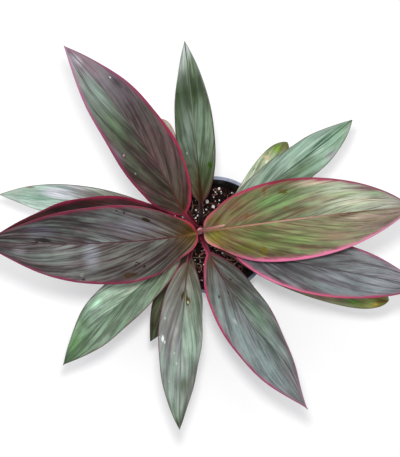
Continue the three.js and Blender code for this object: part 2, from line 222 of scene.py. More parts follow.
# Faces of a tube: rings of equal length, joined ring to ring, with a flat fan at each end
def tubeFaces(rings, sides, first=0):
    faces = []
    for i in range(rings - 1):
        for j in range(sides):
            k = (j + 1) % sides
            a, b = first + i * sides, first + (i + 1) * sides
            faces.append((a + j, a + k, b + k, b + j))
    faces.append(tuple(first + j for j in reversed(range(sides))))
    faces.append(tuple(first + (rings - 1) * sides + j for j in range(sides)))
    return faces


def floorFinish():
    bench = FinishBench("floorPaper")
    cloud = bench.clouds(bench.where(), 3.0)
    colour = bench.shade(linear(studio["floorColour"]), bench.remap(cloud, 0, 1, 0.985, 1.015))
    return bench.complete(colour, studio["floorRoughness"], studio)


def layFloor():
    half, squares = studio["floorSize"] / 2, studio["floorSquares"]
    row = squares + 1
    steps = np.linspace(-half, half, row)
    points = [(x, y, 0) for y in steps for x in steps]
    corners = [i * row + j for i in range(squares) for j in range(squares)]
    faces = [(k, k + 1, k + row + 1, k + row) for k in corners]
    makePiece("floor", points, faces, floorFinish())


print("setting the camera, the lights and the floor")
placeCamera()
setSky()
addSoftLight("keyLamp")
addSoftLight("softbox")
layFloor()


# Pot

pot = {
    "height": 135,
    "rimRadius": 80,
    "rimBand": 4.8,
    "lipHeight": 12,
    "lipStep": 3,
    "lipCurve": 0.8,
    "lipRings": (0.32, 0.26, 0.32),     # raised rings on the lip: height, then place and spacing in bands
    "baseRadius": 57,
    "footCurve": 2,
    "mouldLine": (96, 101, 0.25),       # a faint line under the lip: from, to, how far it stands out
    "wall": 2.2,
    "floor": 3,
    "sides": 192,
    "drainHoles": 6,
    "drainRadius": 5,
    "drainCircle": 38,
    "drainTurn": 1.2,                   # degrees; keeps the corners of the holes off the pot's edges
    "plastic": "17191c",
    "dust": "5d4a3c",
    "rimSheen": ("6a7180", "98a0b3"),    # painted sheen on the top of the rim: near side darker, far side lighter
    "sheenFrom": 2.2,                    # how far down from the top the painted sheen begins, and is full
    "sheenFull": 1,
    "scuffs": (60, 6, 0.7),             # cloud textures: scale, detail, roughness
    "grains": (1500, 2, 0.5),
    "turningLines": 900,
    "roughness": (0.34, 0.56),
    "specular": 0.5,
    "bump": (0.35, 0.12),               # strength, and depth in millimetres
}


def potOuter(z):
    underLip = pot["rimRadius"] - pot["lipStep"]
    lipFoot = pot["height"] - pot["lipHeight"]
    return pot["baseRadius"] + (underLip - pot["baseRadius"]) * z / lipFoot


def potInner(z):
    return potOuter(z) - pot["wall"]


# A quarter turn between two points of the profile; it leaves the first one outwards, or else upwards
def roundCorner(start, end, upwards=False, steps=5):
    (r0, z0), (r1, z1) = start, end
    corner = []
    for turn in np.linspace(0, math.pi / 2, steps + 1):
        early, late = math.sin(turn), 1 - math.cos(turn)
        if upwards:
            early, late = late, early
        corner.append((r0 + (r1 - r0) * early, z0 + (z1 - z0) * late))
    return corner


# The pot's section as (radius, height), from the middle of the base up the outside and down the inside
def potProfile():
    top, rim, foot, floor = pot["height"], pot["rimRadius"], pot["baseRadius"], pot["floor"]
    footCurve, lipCurve = pot["footCurve"], pot["lipCurve"]
    lipFoot = top - pot["lipHeight"]
    profile = [(1, 0), (foot * 0.4, 0), (foot - footCurve, 0)]
    profile += roundCorner((foot - footCurve, 0), (potOuter(footCurve), footCurve))[1:]
    lineFrom, lineTo, lineOut = pot["mouldLine"]
    for z in np.linspace(6, lipFoot - 1.5, 26):
        profile.append((potOuter(z) + (lineOut if lineFrom < z < lineTo else 0), z))
    profile += roundCorner((potOuter(lipFoot - 1), lipFoot - 1), (rim - 1, lipFoot), upwards=True)
    profile += roundCorner((rim - lipCurve, lipFoot), (rim, lipFoot + lipCurve))[1:]
    profile += [(rim, z) for z in np.linspace(lipFoot + 2, top - 2, 6)]
    ringHeight, firstRing, ringSpacing = pot["lipRings"]
    for part in np.linspace(0.06, 0.9, 29):       # over the top of the lip, which falls off at both sides
        rings = ringHeight * math.cos(2 * math.pi * (part - firstRing) / ringSpacing)
        fall = 1.1 * max(0, (0.16 - part) / 0.16) ** 2 + 0.5 * max(0, (part - 0.7) / 0.2) ** 2
        profile.append((rim - pot["rimBand"] * part, top - ringHeight - 0.02 + rings - fall))
    inner = rim - pot["rimBand"]
    profile += [(inner - 0.1, top - 2.2), (inner - 0.2, top - 5), (inner - 0.2, top - 9)]
    profile.append((potInner(lipFoot - 2) + 0.2, lipFoot - 2))
    profile += [(potInner(z), z) for z in np.linspace(lipFoot - 5, floor + 3, 24)]
    profile += [(potInner(floor) - 2.5, floor), (20, floor), (1, floor)]
    return profile


def potFinish():
    bench = FinishBench("potPlastic")
    where = bench.where()
    axes = bench.add("SeparateXYZ", {"Vector": where}).outputs
    height, top = axes["Z"], pot["height"] * mm
    scuffs = bench.clouds(where, *pot["scuffs"])
    rings = bench.clouds(bench.place(0.0, 0.0, bench.times(height, pot["turningLines"])), 1.0, 3.0)
    grains = bench.clouds(where, *pot["grains"])
    dusty = bench.times(bench.remap(scuffs, 0.5, 0.75), bench.remap(height, 0.03, 0.0, 0.1, 0.7))
    colour = bench.shade(linear(pot["plastic"]), bench.vary(rings, 0.8, 1.25))
    colour = bench.blend(dusty, colour, linear(pot["dust"]))
    # painted sheen: the top of the rim gets a pale blue-grey in place of the sky's reflection, lighter on
    # the far side than the near side, broken up by the scuffs
    onRim = bench.remap(height, top - pot["sheenFrom"] * mm, top - pot["sheenFull"] * mm)
    rimSheenMask = bench.times(onRim, bench.remap(scuffs, 0.3, 0.6, 0.7, 1.0))
    nearSheen, farSheen = [linear(c) for c in pot["rimSheen"]]
    colour = bench.blend(rimSheenMask, colour, bench.blend(bench.remap(axes["Y"], -0.03, 0.04), nearSheen, farSheen))
    relief = bench.plus(grains, bench.times(rings, 1.5))
    return bench.complete(colour, bench.vary(scuffs, *pot["roughness"]), pot, relief)


def drillHoles(shell):
    cutter = bmesh.new()
    turned = Matrix.Rotation(math.radians(pot["drainTurn"]), 4, "Z")
    radius = pot["drainRadius"] * mm
    for i in range(pot["drainHoles"]):
        angle = 2 * math.pi * (i + 0.5) / pot["drainHoles"]
        x, y = [pot["drainCircle"] * f(angle) * mm for f in (math.cos, math.sin)]
        bmesh.ops.create_cone(cutter, cap_ends=True, segments=40, radius1=radius, radius2=radius, depth=0.02,
                              matrix=Matrix.Translation((x, y, 0)) @ turned)
    holeMesh = bpy.data.meshes.new("drainHoles")
    cutter.to_mesh(holeMesh)
    cutter.free()
    holes = putInScene("drainHoles", holeMesh)
    cut = shell.modifiers.new("drain", "BOOLEAN")
    cut.operation = "DIFFERENCE"
    cut.object = holes
    cut.solver = "EXACT"
    drilled = bpy.data.meshes.new_from_object(shell.evaluated_get(bpy.context.evaluated_depsgraph_get()))
    shell.modifiers.clear()
    shell.data = drilled
    bpy.data.objects.remove(holes)
    bpy.data.meshes.remove(holeMesh)


def makePot():
    profile = potProfile()
    points = [point for r, z in profile for point in ringPoints(r, z, pot["sides"])]
    shell = makePiece("potShell", points, tubeFaces(len(profile), pot["sides"]), potFinish())
    drillHoles(shell)
    shell.data.set_sharp_from_angle(angle=math.radians(40))
    mountPiece(shell, "pot_plastic", "pot")


print("turning the pot")
makePot()


# Soil

soil = {
    "edgeHeight": 98,
    "mound": 5,
    "relief": 1.3,
    "crumbs": 1.5,             # the fine roughness added to the soil's swells
    "rings": 96,
    "spokes": 230,
    "gap": 0.3,
    "dark": "0f0706",
    "damp": "20120f",
    "reddish": "4a2822",
    "coarse": (90, 5, 0.65),
    "fine": (700, 4, 0.7),
    "roughness": (0.7, 0.95),
    "specular": 0.25,
    "bump": (0.8, 0.7),
}


def soilTop(x, y):
    edge, away = potInner(soil["edgeHeight"]), math.hypot(x, y)
    dome = soil["mound"] * (1 - min(away / edge, 1) ** 2)
    swells = math.sin(x * 0.21 + 1.3) * math.cos(y * 0.17) + math.sin((x + y) * 0.37) * 0.6
    swells += math.sin(x * 0.53 + 2) * math.sin(y * 0.47 + 0.4)
    rough = noise.fractal(Vector((x, y, 4.0)) * 0.22, 0.9, 2.1, 4)
    clods = 0.5 - noise.voronoi(Vector((x, y, 0.0)) * 0.28)[0][0]
    fine = soil["crumbs"] * (0.7 * rough + 0.9 * clods)
    inward = float(ease((edge - away) / 6))
    return soil["edgeHeight"] + (dome + soil["relief"] * swells / 2) * inward + fine * (0.4 + 0.6 * inward)


def soilFinish():
    bench = FinishBench("pottingSoil")
    where = bench.where()
    coarse, fine = bench.clouds(where, *soil["coarse"]), bench.clouds(where, *soil["fine"])
    colour = bench.blend(bench.remap(coarse, 0.35, 0.65), linear(soil["dark"]), linear(soil["damp"]))
    colour = bench.blend(bench.remap(fine, 0.58, 0.72), colour, linear(soil["reddish"]))
    return bench.complete(colour, bench.vary(fine, *soil["roughness"]), soil, bench.plus(fine, coarse))


def makeSoil():
    foot, spokes = pot["floor"] + soil["gap"], soil["spokes"]
    edge = potInner(soil["edgeHeight"]) - soil["gap"]
    points = []
    for r, z in [(0.01, foot), (potInner(foot) - 2.6, foot), (potInner(foot + 3) - 0.4, foot + 3)]:
        points += ringPoints(r, z, spokes)
    for i in range(soil["rings"], -1, -1):
        r = max(edge * (i / soil["rings"]) ** 0.9, 0.01)
        points += [(x, y, soilTop(x, y)) for x, y, _ in ringPoints(r, 0, spokes)]
    bed = makePiece("soilBed", points, tubeFaces(len(points) // spokes, spokes), soilFinish())
    mountPiece(bed, "potting_soil", "soil")


# Loose bits on the soil: each is a faceted lump, stretched, dented, turned and pressed in. Those that
# show between the leaves are listed as (x, y, length), and the others are strewn clear of pot and cane.

barkChips = {
    "name": "barkChips", "count": 420, "length": (2.2, 7.5), "flat": 0.34, "narrow": 0.5, "dents": 0.35,
    "tilt": 28, "sunk": 0.25, "seed": 5, "colours": ("170b09", "84544c"), "roughness": 0.85,
    "specular": 0.25, "bump": (0.6, 0.4), "clear": 3,
    "seen": [(40, -45, 8), (35, -50, 7), (44, -41, 6), (30, -52, 8), (27, -41, 7), (47, -36, 6),
             (20, -37, 6)],
}
perliteGrains = {
    "name": "perliteGrains", "count": 300, "length": (0.6, 2.1), "flat": 0.8, "narrow": 0.85, "dents": 0.3,
    "tilt": 90, "sunk": 0.15, "seed": 9, "colours": ("e4dcd2", "ffffff"), "roughness": 0.8,
    "specular": 0.25, "bump": (0.6, 0.4), "clear": 3,
    "seen": [(9.5, 65.2, 4.4), (4.2, 60.4, 2.8), (-7.4, 46.8, 5), (1, 39.7, 4.4), (1.7, 53.3, 2.2),
             (12, 61, 2.6), (-13.5, 35.2, 3.2), (-8.8, 35.7, 3), (-12.9, 31.1, 3), (-19, 32.1, 3.2),
             (-13.5, 41.6, 2.4), (-21, 27, 2.8), (-23.4, 34.8, 2.8), (-23.7, 23.8, 3.4), (-41.6, 25, 3.8),
             (-52.9, 26.5, 3.6), (14, -26, 2.4), (-30, -22, 2.2)],
}


def bitFinish(bits):
    bench = FinishBench(bits["name"] + "Finish")
    grain = bench.clouds(bench.where(), 900, 4, 0.65)
    dark, light = [linear(c) for c in bits["colours"]]
    colour = bench.blend(bench.attribute("shade"), dark, light)
    colour = bench.shade(colour, bench.remap(grain, 0.25, 0.75, 0.6, 1.3))
    return bench.complete(colour, bits["roughness"], bits, grain)


def lumpShape():
    shape = bmesh.new()
    bmesh.ops.create_icosphere(shape, subdivisions=2, radius=0.5)
    points = np.array([v.co[:] for v in shape.verts])
    faces = [tuple(v.index for v in f.verts) for f in shape.faces]
    shape.free()
    return points, faces


def randomSpot(dice, edge):
    angle = 2 * math.pi * dice.random()
    reach = edge * math.sqrt(dice.random())
    return reach * math.cos(angle), reach * math.sin(angle)


def scatterBits(bits):
    dice = np.random.default_rng(bits["seed"])
    lump, lumpFaces = lumpShape()
    blocky = lump * (0.5 / np.abs(lump).max(axis=1, keepdims=True)) ** 0.55
    edge = potInner(soil["edgeHeight"]) - bits["clear"]
    low, high = bits["length"]
    tilt = math.radians(bits["tilt"])
    spots = list(bits["seen"])
    while len(spots) < bits["count"]:
        x, y = randomSpot(dice, edge)
        if math.hypot(x - cane["foot"][0], y - cane["foot"][1]) > cane["footRadius"] + bits["clear"]:
            spots.append((x, y, low + (high - low) * dice.random() ** 2.2))
    points, faces, shades = [], [], []
    for x, y, length in spots:
        narrow = bits["narrow"] * dice.uniform(0.6, 1.3)
        flat = bits["flat"] * dice.uniform(0.7, 1.3)
        seedPoint = Vector(dice.uniform(-90, 90, 3))
        dents = np.array([noise.noise(Vector(p) * 3.1 + seedPoint) for p in lump])
        body = blocky * (1 + bits["dents"] * dents)[:, None] * (length * np.array([1, narrow, flat]))
        turn = Matrix.Rotation(dice.uniform(0, 2 * math.pi), 3, "Z")
        for axis in "YX":
            turn = turn @ Matrix.Rotation(dice.uniform(-tilt, tilt), 3, axis)
        body = body @ np.array(turn).T
        lift = -body[:, 2].min() - bits["sunk"] * length * bits["flat"]
        faces += [tuple(len(points) * len(lump) + k for k in face) for face in lumpFaces]
        points.append(body + (x, y, soilTop(x, y) + lift))
        shades += [dice.random()] * len(lump)
    strewn = makePiece(bits["name"], np.vstack(points), faces, bitFinish(bits), {"shade": shades})
    mountPiece(strewn, "potting_soil")


# Dry roots and twigs on the soil; those that show are listed as x, y, heading, length, radius
rootFibres = {
    "name": "rootFibres", "count": 46, "length": (9, 30), "radius": (0.22, 0.5), "curl": 0.16, "seed": 21,
    "colours": ("5a4030", "b79c80"), "roughness": 0.8, "specular": 0.25, "bump": (0.6, 0.4),
    "reach": 60, "clear": 5, "steps": 14, "sides": 7,
    "seen": [(-12, -14, -62, 30, 0.6), (-4, -12, -150, 24, 0.5), (-30, 40, 20, 16, 0.5),
             (-22, 30, 75, 16, 0.45), (-16, -24, 42, 22, 0.55), (-2, -16, 24, 20, 0.5),
             (-30, 34, 40, 18, 0.45), (4, -22, -20, 26, 0.55), (-30, -32, 8, 26, 0.6),
             (-26, -44, 60, 22, 0.5), (10, -30, -70, 22, 0.5), (20, -34, -35, 24, 0.5),
             (-2, -40, 40, 20, 0.45), (34, -40, 80, 14, 0.55), (26, -46, 25, 20, 0.5)],
}


def layFibres(fibres):
    dice = np.random.default_rng(fibres["seed"])
    edge = potInner(soil["edgeHeight"]) - fibres["clear"]
    starts = list(fibres["seen"])
    while len(starts) < fibres["count"]:
        spot = randomSpot(dice, fibres["reach"])
        heading, length = dice.uniform(0, 360), dice.uniform(*fibres["length"])
        starts.append((*spot, heading, length, dice.uniform(*fibres["radius"])))
    steps, sides = fibres["steps"], fibres["sides"]
    points, faces, shades = [], [], []
    for x, y, heading, length, radius in starts:
        angle, bend = math.radians(heading), dice.normal(0, fibres["curl"])
        shades += [dice.random()] * (steps * sides)
        faces += tubeFaces(steps, sides, len(points))
        step = length / (steps - 1)
        for i in range(steps):
            along = i / (steps - 1)
            z = soilTop(x, y) + radius * 0.7 + 0.9 * math.sin(math.pi * along) * dice.uniform(0.7, 1.3)
            thick = radius * (1 - 0.55 * along)
            for out, rise, _ in ringPoints(thick, 0, sides):
                points.append((x - out * math.sin(angle), y + out * math.cos(angle), z + rise))
            bend = 0.8 * bend + dice.normal(0, 0.6 * fibres["curl"])
            angle += bend
            if math.hypot(x + step * math.cos(angle), y + step * math.sin(angle)) > edge:
                angle += math.pi / 3
            x, y = x + step * math.cos(angle), y + step * math.sin(angle)
    strewn = makePiece(fibres["name"], points, faces, bitFinish(fibres), {"shade": shades})
    mountPiece(strewn, "potting_soil")


# Cane: a leaning stem with ring scars on its bare foot

cane = {
    "foot": (-10, 2),
    "crown": (-17.6, 6),
    "bottom": 60,
    "straightFrom": 145,
    "top": 245,
    "footRadius": 7.5,
    "neck": 215,
    "neckRadius": 5,
    "topRadius": 3,
    "scarSpacing": 8,
    "scarRise": 0.6,
    "scarFade": 20,            # the last stretch below the tip is smooth
    "sides": 56,
    "rows": 260,
    "bark": "6d5a44",
    "barkDark": "3f3126",
    "young": "7d3540",
    "youngFrom": (150, 200),
    "shoot": "d89a9c",
    "shootFrom": (228, 240),
    "cracks": (420, 5, 0.7),
    "blotches": (90, 3, 0.5),
    "roughness": (0.6, 0.85),
    "specular": 0.3,
    "bump": (0.5, 0.4),
}


def caneRadius(z):
    heights = [soil["edgeHeight"], cane["neck"], cane["top"]]
    return np.interp(z, heights, [cane["footRadius"], cane["neckRadius"], cane["topRadius"]])


def caneCentre(z):
    t = float(ease(z, soil["edgeHeight"] + soil["mound"], cane["straightFrom"]))
    foot, crown = np.array(cane["foot"]), np.array(cane["crown"])
    return np.append(foot + (crown - foot) * t, z)


def caneFinish():
    bench = FinishBench("caneBark")
    where = bench.where()
    height = bench.add("SeparateXYZ", {"Vector": where}).outputs["Z"]
    cracks, blotches = bench.clouds(where, *cane["cracks"]), bench.clouds(where, *cane["blotches"])
    colour = bench.blend(bench.remap(blotches, 0.35, 0.65), linear(cane["bark"]), linear(cane["barkDark"]))
    for part in ("young", "shoot"):
        low, high = cane[part + "From"]
        colour = bench.blend(bench.remap(height, low * mm, high * mm), colour, linear(cane[part]))
    colour = bench.blend(bench.attribute("scar"), colour, linear(cane["barkDark"]))
    colour = bench.shade(colour, bench.vary(cracks, 0.7, 1.25))
    return bench.complete(colour, bench.vary(cracks, *cane["roughness"]), cane, cracks)


def makeCane():
    points, scars = [], []
    for z in np.linspace(cane["bottom"], cane["top"], cane["rows"]):
        centre = caneCentre(z)
        fade = float(ease(cane["top"] - z, 0, cane["scarFade"]))
        for x, y, _ in ringPoints(1, 0, cane["sides"]):
            wander = 1.3 * noise.noise(Vector((x, y, z * 0.06)) * 1.4)
            phase = (z + wander - soil["edgeHeight"]) / cane["scarSpacing"] % 1
            ridge = math.exp(-((phase - 0.5) / 0.09) ** 2)
            groove = math.exp(-((phase - 0.68) / 0.06) ** 2)
            dents = 0.25 * noise.noise(Vector((x * 3, y * 3, z * 0.25)))
            radius = caneRadius(z) + fade * (cane["scarRise"] * (0.8 * ridge - 0.4 * groove) + dents)
            points.append(centre + (radius * x, radius * y, 0))
            scars.append(min(1, 0.9 * groove + 0.4 * ridge) * fade)
    faces = tubeFaces(cane["rows"], cane["sides"])
    stem = makePiece("caneStem", points, faces, caneFinish(), {"scar": scars})
    mountPiece(stem, "cane_bark", "cane")


print("filling the pot with soil")
makeSoil()
scatterBits(barkChips)
scatterBits(perliteGrains)
layFibres(rootFibres)
print("raising the cane")
makeCane()


# Leaves

# What all leaves share: a sheath that lies along the cane, a channelled stalk, and a blade whose veins
# leave the midrib one after the other and run on towards the tip
growth = {
    "sheath": 5,
    "flare": 8,
    "caneGap": 0.9,
    "sheathHalfWidth": 3.9,
    "stalkHalfWidth": 2.3,
    "channel": 0.38,
    "narrowing": 20,           # the sheath has narrowed to the stalk at this distance
    "opening": 0.14,           # the channel has opened out, and the roll has come in, at these parts
    "rolledFrom": 0.3,         # of the blade
    "middle": 0.45,
    "stalkSheet": 0.8,
    "bladeSheet": 0.5,
    "keel": 1.5,
    "keelWidth": 2.2,
    "tipHalfWidth": 0.5,
    "edgeLag": 0.37,
    "stalkRows": 24,
    "fanRows": 32,
    "bladeRows": 148,
    "halfColumns": 22,
    "firstVein": 0.02,
    "veinStarts": [0, 0.1, 0.3, 0.5],        # where veins leave the midrib, as parts of the blade's length,
    "veinLeans": [0.28, 0.36, 0.65, 0.85],   # and how much further on they would meet the margin
    "veinBend": 0.35,                        # how far they bend to run along with the margin
    "pleat": 0.13,                           # height of the fine pleats between veins
    "pleatSpacing": 4.2,
    "swell": 0.55,             # height and size of the broad, soft undulations
    "swellSize": (11, 9),
    "midribGroove": 0.35,
    "midribWidth": 1.1,
    "fineStreaks": (0.85, 0.02, 3, 0.65),    # cloud textures: rates across and along, detail, roughness
    "broadStreaks": (0.28, 0.012, 4, 0.7),
    "flows": (0.13, 0.016, 2, 0.6),
    "clouds": (0.045, 0.09, 3, 0.6),
    "specular": 0.14,
    "bump": (0.5, 0.35),
    "gloss": 0.009,            # what the studio's shine adds to a colour; taken off the pigments
}

# What a leaf has unless its own dictionary says otherwise
usualLeaf = {
    "fold": 0.28, "arch": 0.26, "lean": 1.5, "clouding": 0.2, "roughness": 0.38, "stem": "5e1e28",
    "spots": [],
}


def leafHalfWidth(leaf, distance, u):
    opening, closing, full = leaf["outline"]
    widest = opening / (opening + closing)
    outline = (u / widest) ** opening * ((1 - u) / (1 - widest)) ** closing
    blade = 0.5 * leaf["width"] * np.tanh(full * outline) / np.tanh(full)
    halfWidths = [growth["sheathHalfWidth"], growth["stalkHalfWidth"]]
    stalk = np.interp(distance, [0, growth["narrowing"]], halfWidths)
    return np.sqrt(blade ** 2 + (stalk * (1 - u) ** 1.5) ** 2 + growth["tipHalfWidth"] ** 2)


def directions(slope, heading):
    slope, heading = np.broadcast_arrays(np.radians(slope), np.radians(heading))
    return np.stack([np.cos(slope) * np.cos(heading), np.cos(slope) * np.sin(heading), np.sin(slope)], -1)


def unit(vectors):
    return vectors / np.linalg.norm(vectors, axis=-1, keepdims=True)


# The midrib climbs and turns: its slope and heading at a distance give its direction
class LeafCourse:
    def __init__(self, leaf):
        sheath, blade = growth["sheath"], leaf["blade"]
        flareEnd = sheath + growth["flare"]
        self.bladeStart = flareEnd + leaf["stalk"]
        self.length = self.bladeStart + blade
        stalkSlope, baseSlope, middleSlope, tipSlope = leaf["slopes"]
        halfStalk, middle = self.bladeStart - leaf["stalk"] / 2, self.bladeStart + growth["middle"] * blade
        self.slopeKnots = ([sheath, flareEnd, halfStalk, self.bladeStart, middle, self.length],
                           [90, stalkSlope, stalkSlope, baseSlope, middleSlope, tipSlope])
        self.headingKnots = ([flareEnd, self.bladeStart + 0.1 * blade, self.length], leaf["headings"])
        outward = directions(0, leaf["headings"][0])
        start = caneCentre(leaf["height"]) + outward * (caneRadius(leaf["height"]) + growth["caneGap"])
        steps = math.ceil(self.length)
        self.marks = np.linspace(0, self.length, steps + 1)
        middles = (self.marks[1:] + self.marks[:-1]) / 2
        strides = directions(self.slopes(middles), self.headings(middles)) * self.length / steps
        self.points = np.vstack([start, start + np.cumsum(strides, axis=0)])

    def slopes(self, distance):
        return np.interp(distance, *self.slopeKnots)

    def headings(self, distance):
        return np.interp(distance, *self.headingKnots)

    def places(self, distance):
        return np.stack([np.interp(distance, self.marks, self.points[:, k]) for k in range(3)], -1)


# The middle surface of a leaf at a distance along it and a place from -1 to 1 across it
def leafSurface(leaf, course, distance, across):
    u = np.clip((distance - course.bladeStart) / leaf["blade"], 0, 1)
    half = leafHalfWidth(leaf, distance, u)
    opened = ease(u / growth["opening"])
    heading = course.headings(distance)
    along = directions(course.slopes(distance), heading)
    side = directions(0, heading + 90)
    up = np.cross(along, side)
    bladeRise = half * (leaf["fold"] * (1 - 0.5 * u) * np.abs(across) - leaf["arch"] * across ** 2)
    stalkRise = half * growth["channel"] * across ** 2
    height, count, phase = leaf["wave"]
    lag = np.where(across > 0, growth["edgeLag"], 0)
    ripple = np.sin(2 * np.pi * (count * u + phase + lag)) * np.sin(np.pi * u)
    rise = opened * (bladeRise + height * across ** 2 * ripple) + (1 - opened) * stalkRise
    roll = np.radians(leaf["roll"]) * np.minimum(u / growth["rolledFrom"], 1)
    sideways = half * across * np.cos(roll) - rise * np.sin(roll)
    upwards = half * across * np.sin(roll) + rise * np.cos(roll)
    return course.places(distance) + side * sideways[..., None] + up * upwards[..., None]


def leafNormals(leaf, course, distance, across):
    step, sidestep = 0.5, 0.02
    distance = np.clip(distance, step, course.length - step)
    before, after = [leafSurface(leaf, course, distance + s, across) for s in (-step, step)]
    right, left = np.maximum(across - sidestep, -1), np.minimum(across + sidestep, 1)
    rightSide, leftSide = [leafSurface(leaf, course, distance, edge) for edge in (right, left)]
    return unit(np.cross(after - before, leftSide - rightSide))


# Smooth random heights, made of a few waves in seeded directions
def softNoise(dice, x, y, waves=7):
    total = np.zeros(np.broadcast(x, y).shape)
    for _ in range(waves):
        angle, phase = dice.uniform(0, 2 * math.pi, 2)
        rate = dice.uniform(0.6, 1.7)
        total += np.sin(rate * (x * math.cos(angle) + y * math.sin(angle)) + phase)
    return total / waves


def veinLean(leaf, start):
    return leaf["lean"] * np.interp(start, growth["veinStarts"], growth["veinLeans"])


def veinBow(across):
    return np.abs(across) * (1 - growth["veinBend"] + growth["veinBend"] * np.abs(across))


# The rows of a leaf's grid fan out over the base of the blade and then follow the veins to the tip
def leafGrid(leaf, course):
    half = np.linspace(0, 1, growth["halfColumns"] + 1)
    half = half - 0.5 * np.sin(2 * np.pi * half) / (2 * np.pi)
    across = np.concatenate([-half[:0:-1], half])
    first = growth["firstVein"]
    stalk, fan = [np.arange(growth[key])[:, None] / growth[key] for key in ("stalkRows", "fanRows")]
    stalk = stalk * course.bladeStart + 0 * across
    fan = fan * (first + veinLean(leaf, first) * veinBow(across))
    starts = np.linspace(first, 1, 500)
    leans = np.minimum(veinLean(leaf, starts), 0.9 * (1 - starts))
    midway = starts + leans / 2
    evenly = np.linspace(midway[0], 1, growth["bladeRows"] + 1)
    start = np.interp(evenly, midway, starts)[:, None]
    blade = start + np.interp(start, starts, leans) * veinBow(across)
    distance = np.vstack([stalk, course.bladeStart + np.vstack([fan, blade]) * leaf["blade"]])
    return distance, across + 0 * distance


# Distance measured square to the veins, in millimetres: a vein is a line where it stays the same
def veinLines(leaf, reach, across):
    starts = np.linspace(-0.9, 1, 800)
    leans = veinLean(leaf, starts)
    angles = np.arctan2(0.45 * leaf["width"], leans * leaf["blade"])
    squareTo = np.cumsum(np.sin(angles)) * (starts[1] - starts[0]) * leaf["blade"]
    bows = veinBow(across[0])
    lines = [np.interp(reach[:, j], starts + leans * bows[j], squareTo) for j in range(reach.shape[1])]
    return np.stack(lines, 1) - np.interp(0, starts, squareTo)


def leafRelief(leaf, line, u, across, lateral, rimGap):
    dice = np.random.default_rng(leaf["seed"])
    pleat = line / growth["pleatSpacing"]
    strength = 0.6 + 0.5 * softNoise(dice, pleat * 0.8, across * 3)
    wander = 1.2 * softNoise(dice, pleat * 0.3, across * 2)
    pleats = growth["pleat"] * strength * np.cos(2 * np.pi * pleat + wander)
    pleats *= ease(np.abs(lateral), 0.6, 4) * ease(rimGap, 0.3, 2.5)
    pleats *= ease(u, 0.02, 0.15) * ease(1 - u, 0.04, 0.3)
    swellLength, swellWidth = growth["swellSize"]
    swells = growth["swell"] * softNoise(dice, u * leaf["blade"] / swellLength, lateral / swellWidth)
    swells *= ease(np.abs(lateral), 1, 8) * ease(u, 0.1, 0.3) * ease(1 - u, 0, 0.15)
    groove = growth["midribGroove"] * np.exp(-(lateral / growth["midribWidth"]) ** 2) * ease(1 - u, 0, 0.3)
    return pleats + swells - groove


# Upper face, rounded edge, lower face and edge again make one closed ring for each row
def makeLeaf(ownLeaf):
    leaf = {**usualLeaf, **ownLeaf}
    course = LeafCourse(leaf)
    distance, across = leafGrid(leaf, course)
    reach = (distance - course.bladeStart) / leaf["blade"]
    u = np.clip(reach, 0, 1)
    half = leafHalfWidth(leaf, distance, u)
    lateral = half * across
    rimGap = half * (1 - np.abs(across))
    line = veinLines(leaf, reach, across)
    normal = leafNormals(leaf, course, distance, across)
    middle = leafSurface(leaf, course, distance, across)
    middle = middle + normal * leafRelief(leaf, line, u, across, lateral, rimGap)[..., None]
    sheet = growth["stalkSheet"] + (growth["bladeSheet"] - growth["stalkSheet"]) * ease(u, 0, 0.2)
    sheet = sheet * (0.45 + 0.55 * ease(rimGap, 0, 1.4)) * (0.55 + 0.45 * ease(1 - u, 0, 0.06))
    keel = growth["keel"] * (1 - 0.8 * u) * np.exp(-(lateral / growth["keelWidth"]) ** 2)
    keel = keel * ease(1 - u, 0, 0.1)
    upper = middle + normal * (sheet / 2)[..., None]
    lower = middle - normal * (sheet / 2 + keel)[..., None]

    def roundedEdge(rim, beside):
        outward = unit(middle[:, rim] - middle[:, beside])
        return ((upper[:, rim] + lower[:, rim]) / 2 + outward * sheet[:, rim, None] * 0.4)[:, None]

    ring = np.concatenate([upper, roundedEdge(-1, -2), lower[:, ::-1], roundedEdge(0, 1)], axis=1)
    fields = {"reach": reach, "line": line, "lateral": lateral, "rimGap": rimGap}
    attributes = {key: np.hstack([v, v[:, -1:], v[:, ::-1], v[:, :1]]) for key, v in fields.items()}
    ones = np.ones_like(u)
    attributes["underside"] = np.hstack([0 * ones, 0.5 * ones[:, :1], ones, 0.5 * ones[:, :1]])
    faces = tubeFaces(*ring.shape[:2])
    piece = makePiece(leaf["piece"], ring.reshape(-1, 3), faces, leafFinish(leaf), attributes)
    if "cut" in leaf:
        snipTip(piece, leaf, course)
    mountPiece(piece, leaf["slot"], leaf["replaces"])


# A slanting snip takes off the end of a leaf, and the wound is closed
def snipTip(piece, leaf, course):
    distance = course.bladeStart + leaf["cut"]["at"] * leaf["blade"]
    heading = course.headings(distance) + leaf["cut"]["skew"]
    body = bmesh.new()
    body.from_mesh(piece.data)
    everything = body.verts[:] + body.edges[:] + body.faces[:]
    cut = bmesh.ops.bisect_plane(body, geom=everything, plane_co=Vector(course.places(distance)) * mm,
                                 plane_no=Vector(directions(0, heading)), clear_outer=True)
    rim = [e for e in cut["geom_cut"] if isinstance(e, bmesh.types.BMEdge)]
    bmesh.ops.triangle_fill(body, use_beauty=True, edges=rim)
    bmesh.ops.recalc_face_normals(body, faces=body.faces[:])
    body.to_mesh(piece.data)
    body.free()


# Colours are written as they look in the studio. The tone of a leaf says how much darker than that its
# pigment is, since leaves nearer the lamp catch more light.
def pigment(hexColour, tone):
    return [max((c - growth["gloss"]) * tone, 0.002) for c in linear(hexColour)[:3]] + [1.0]


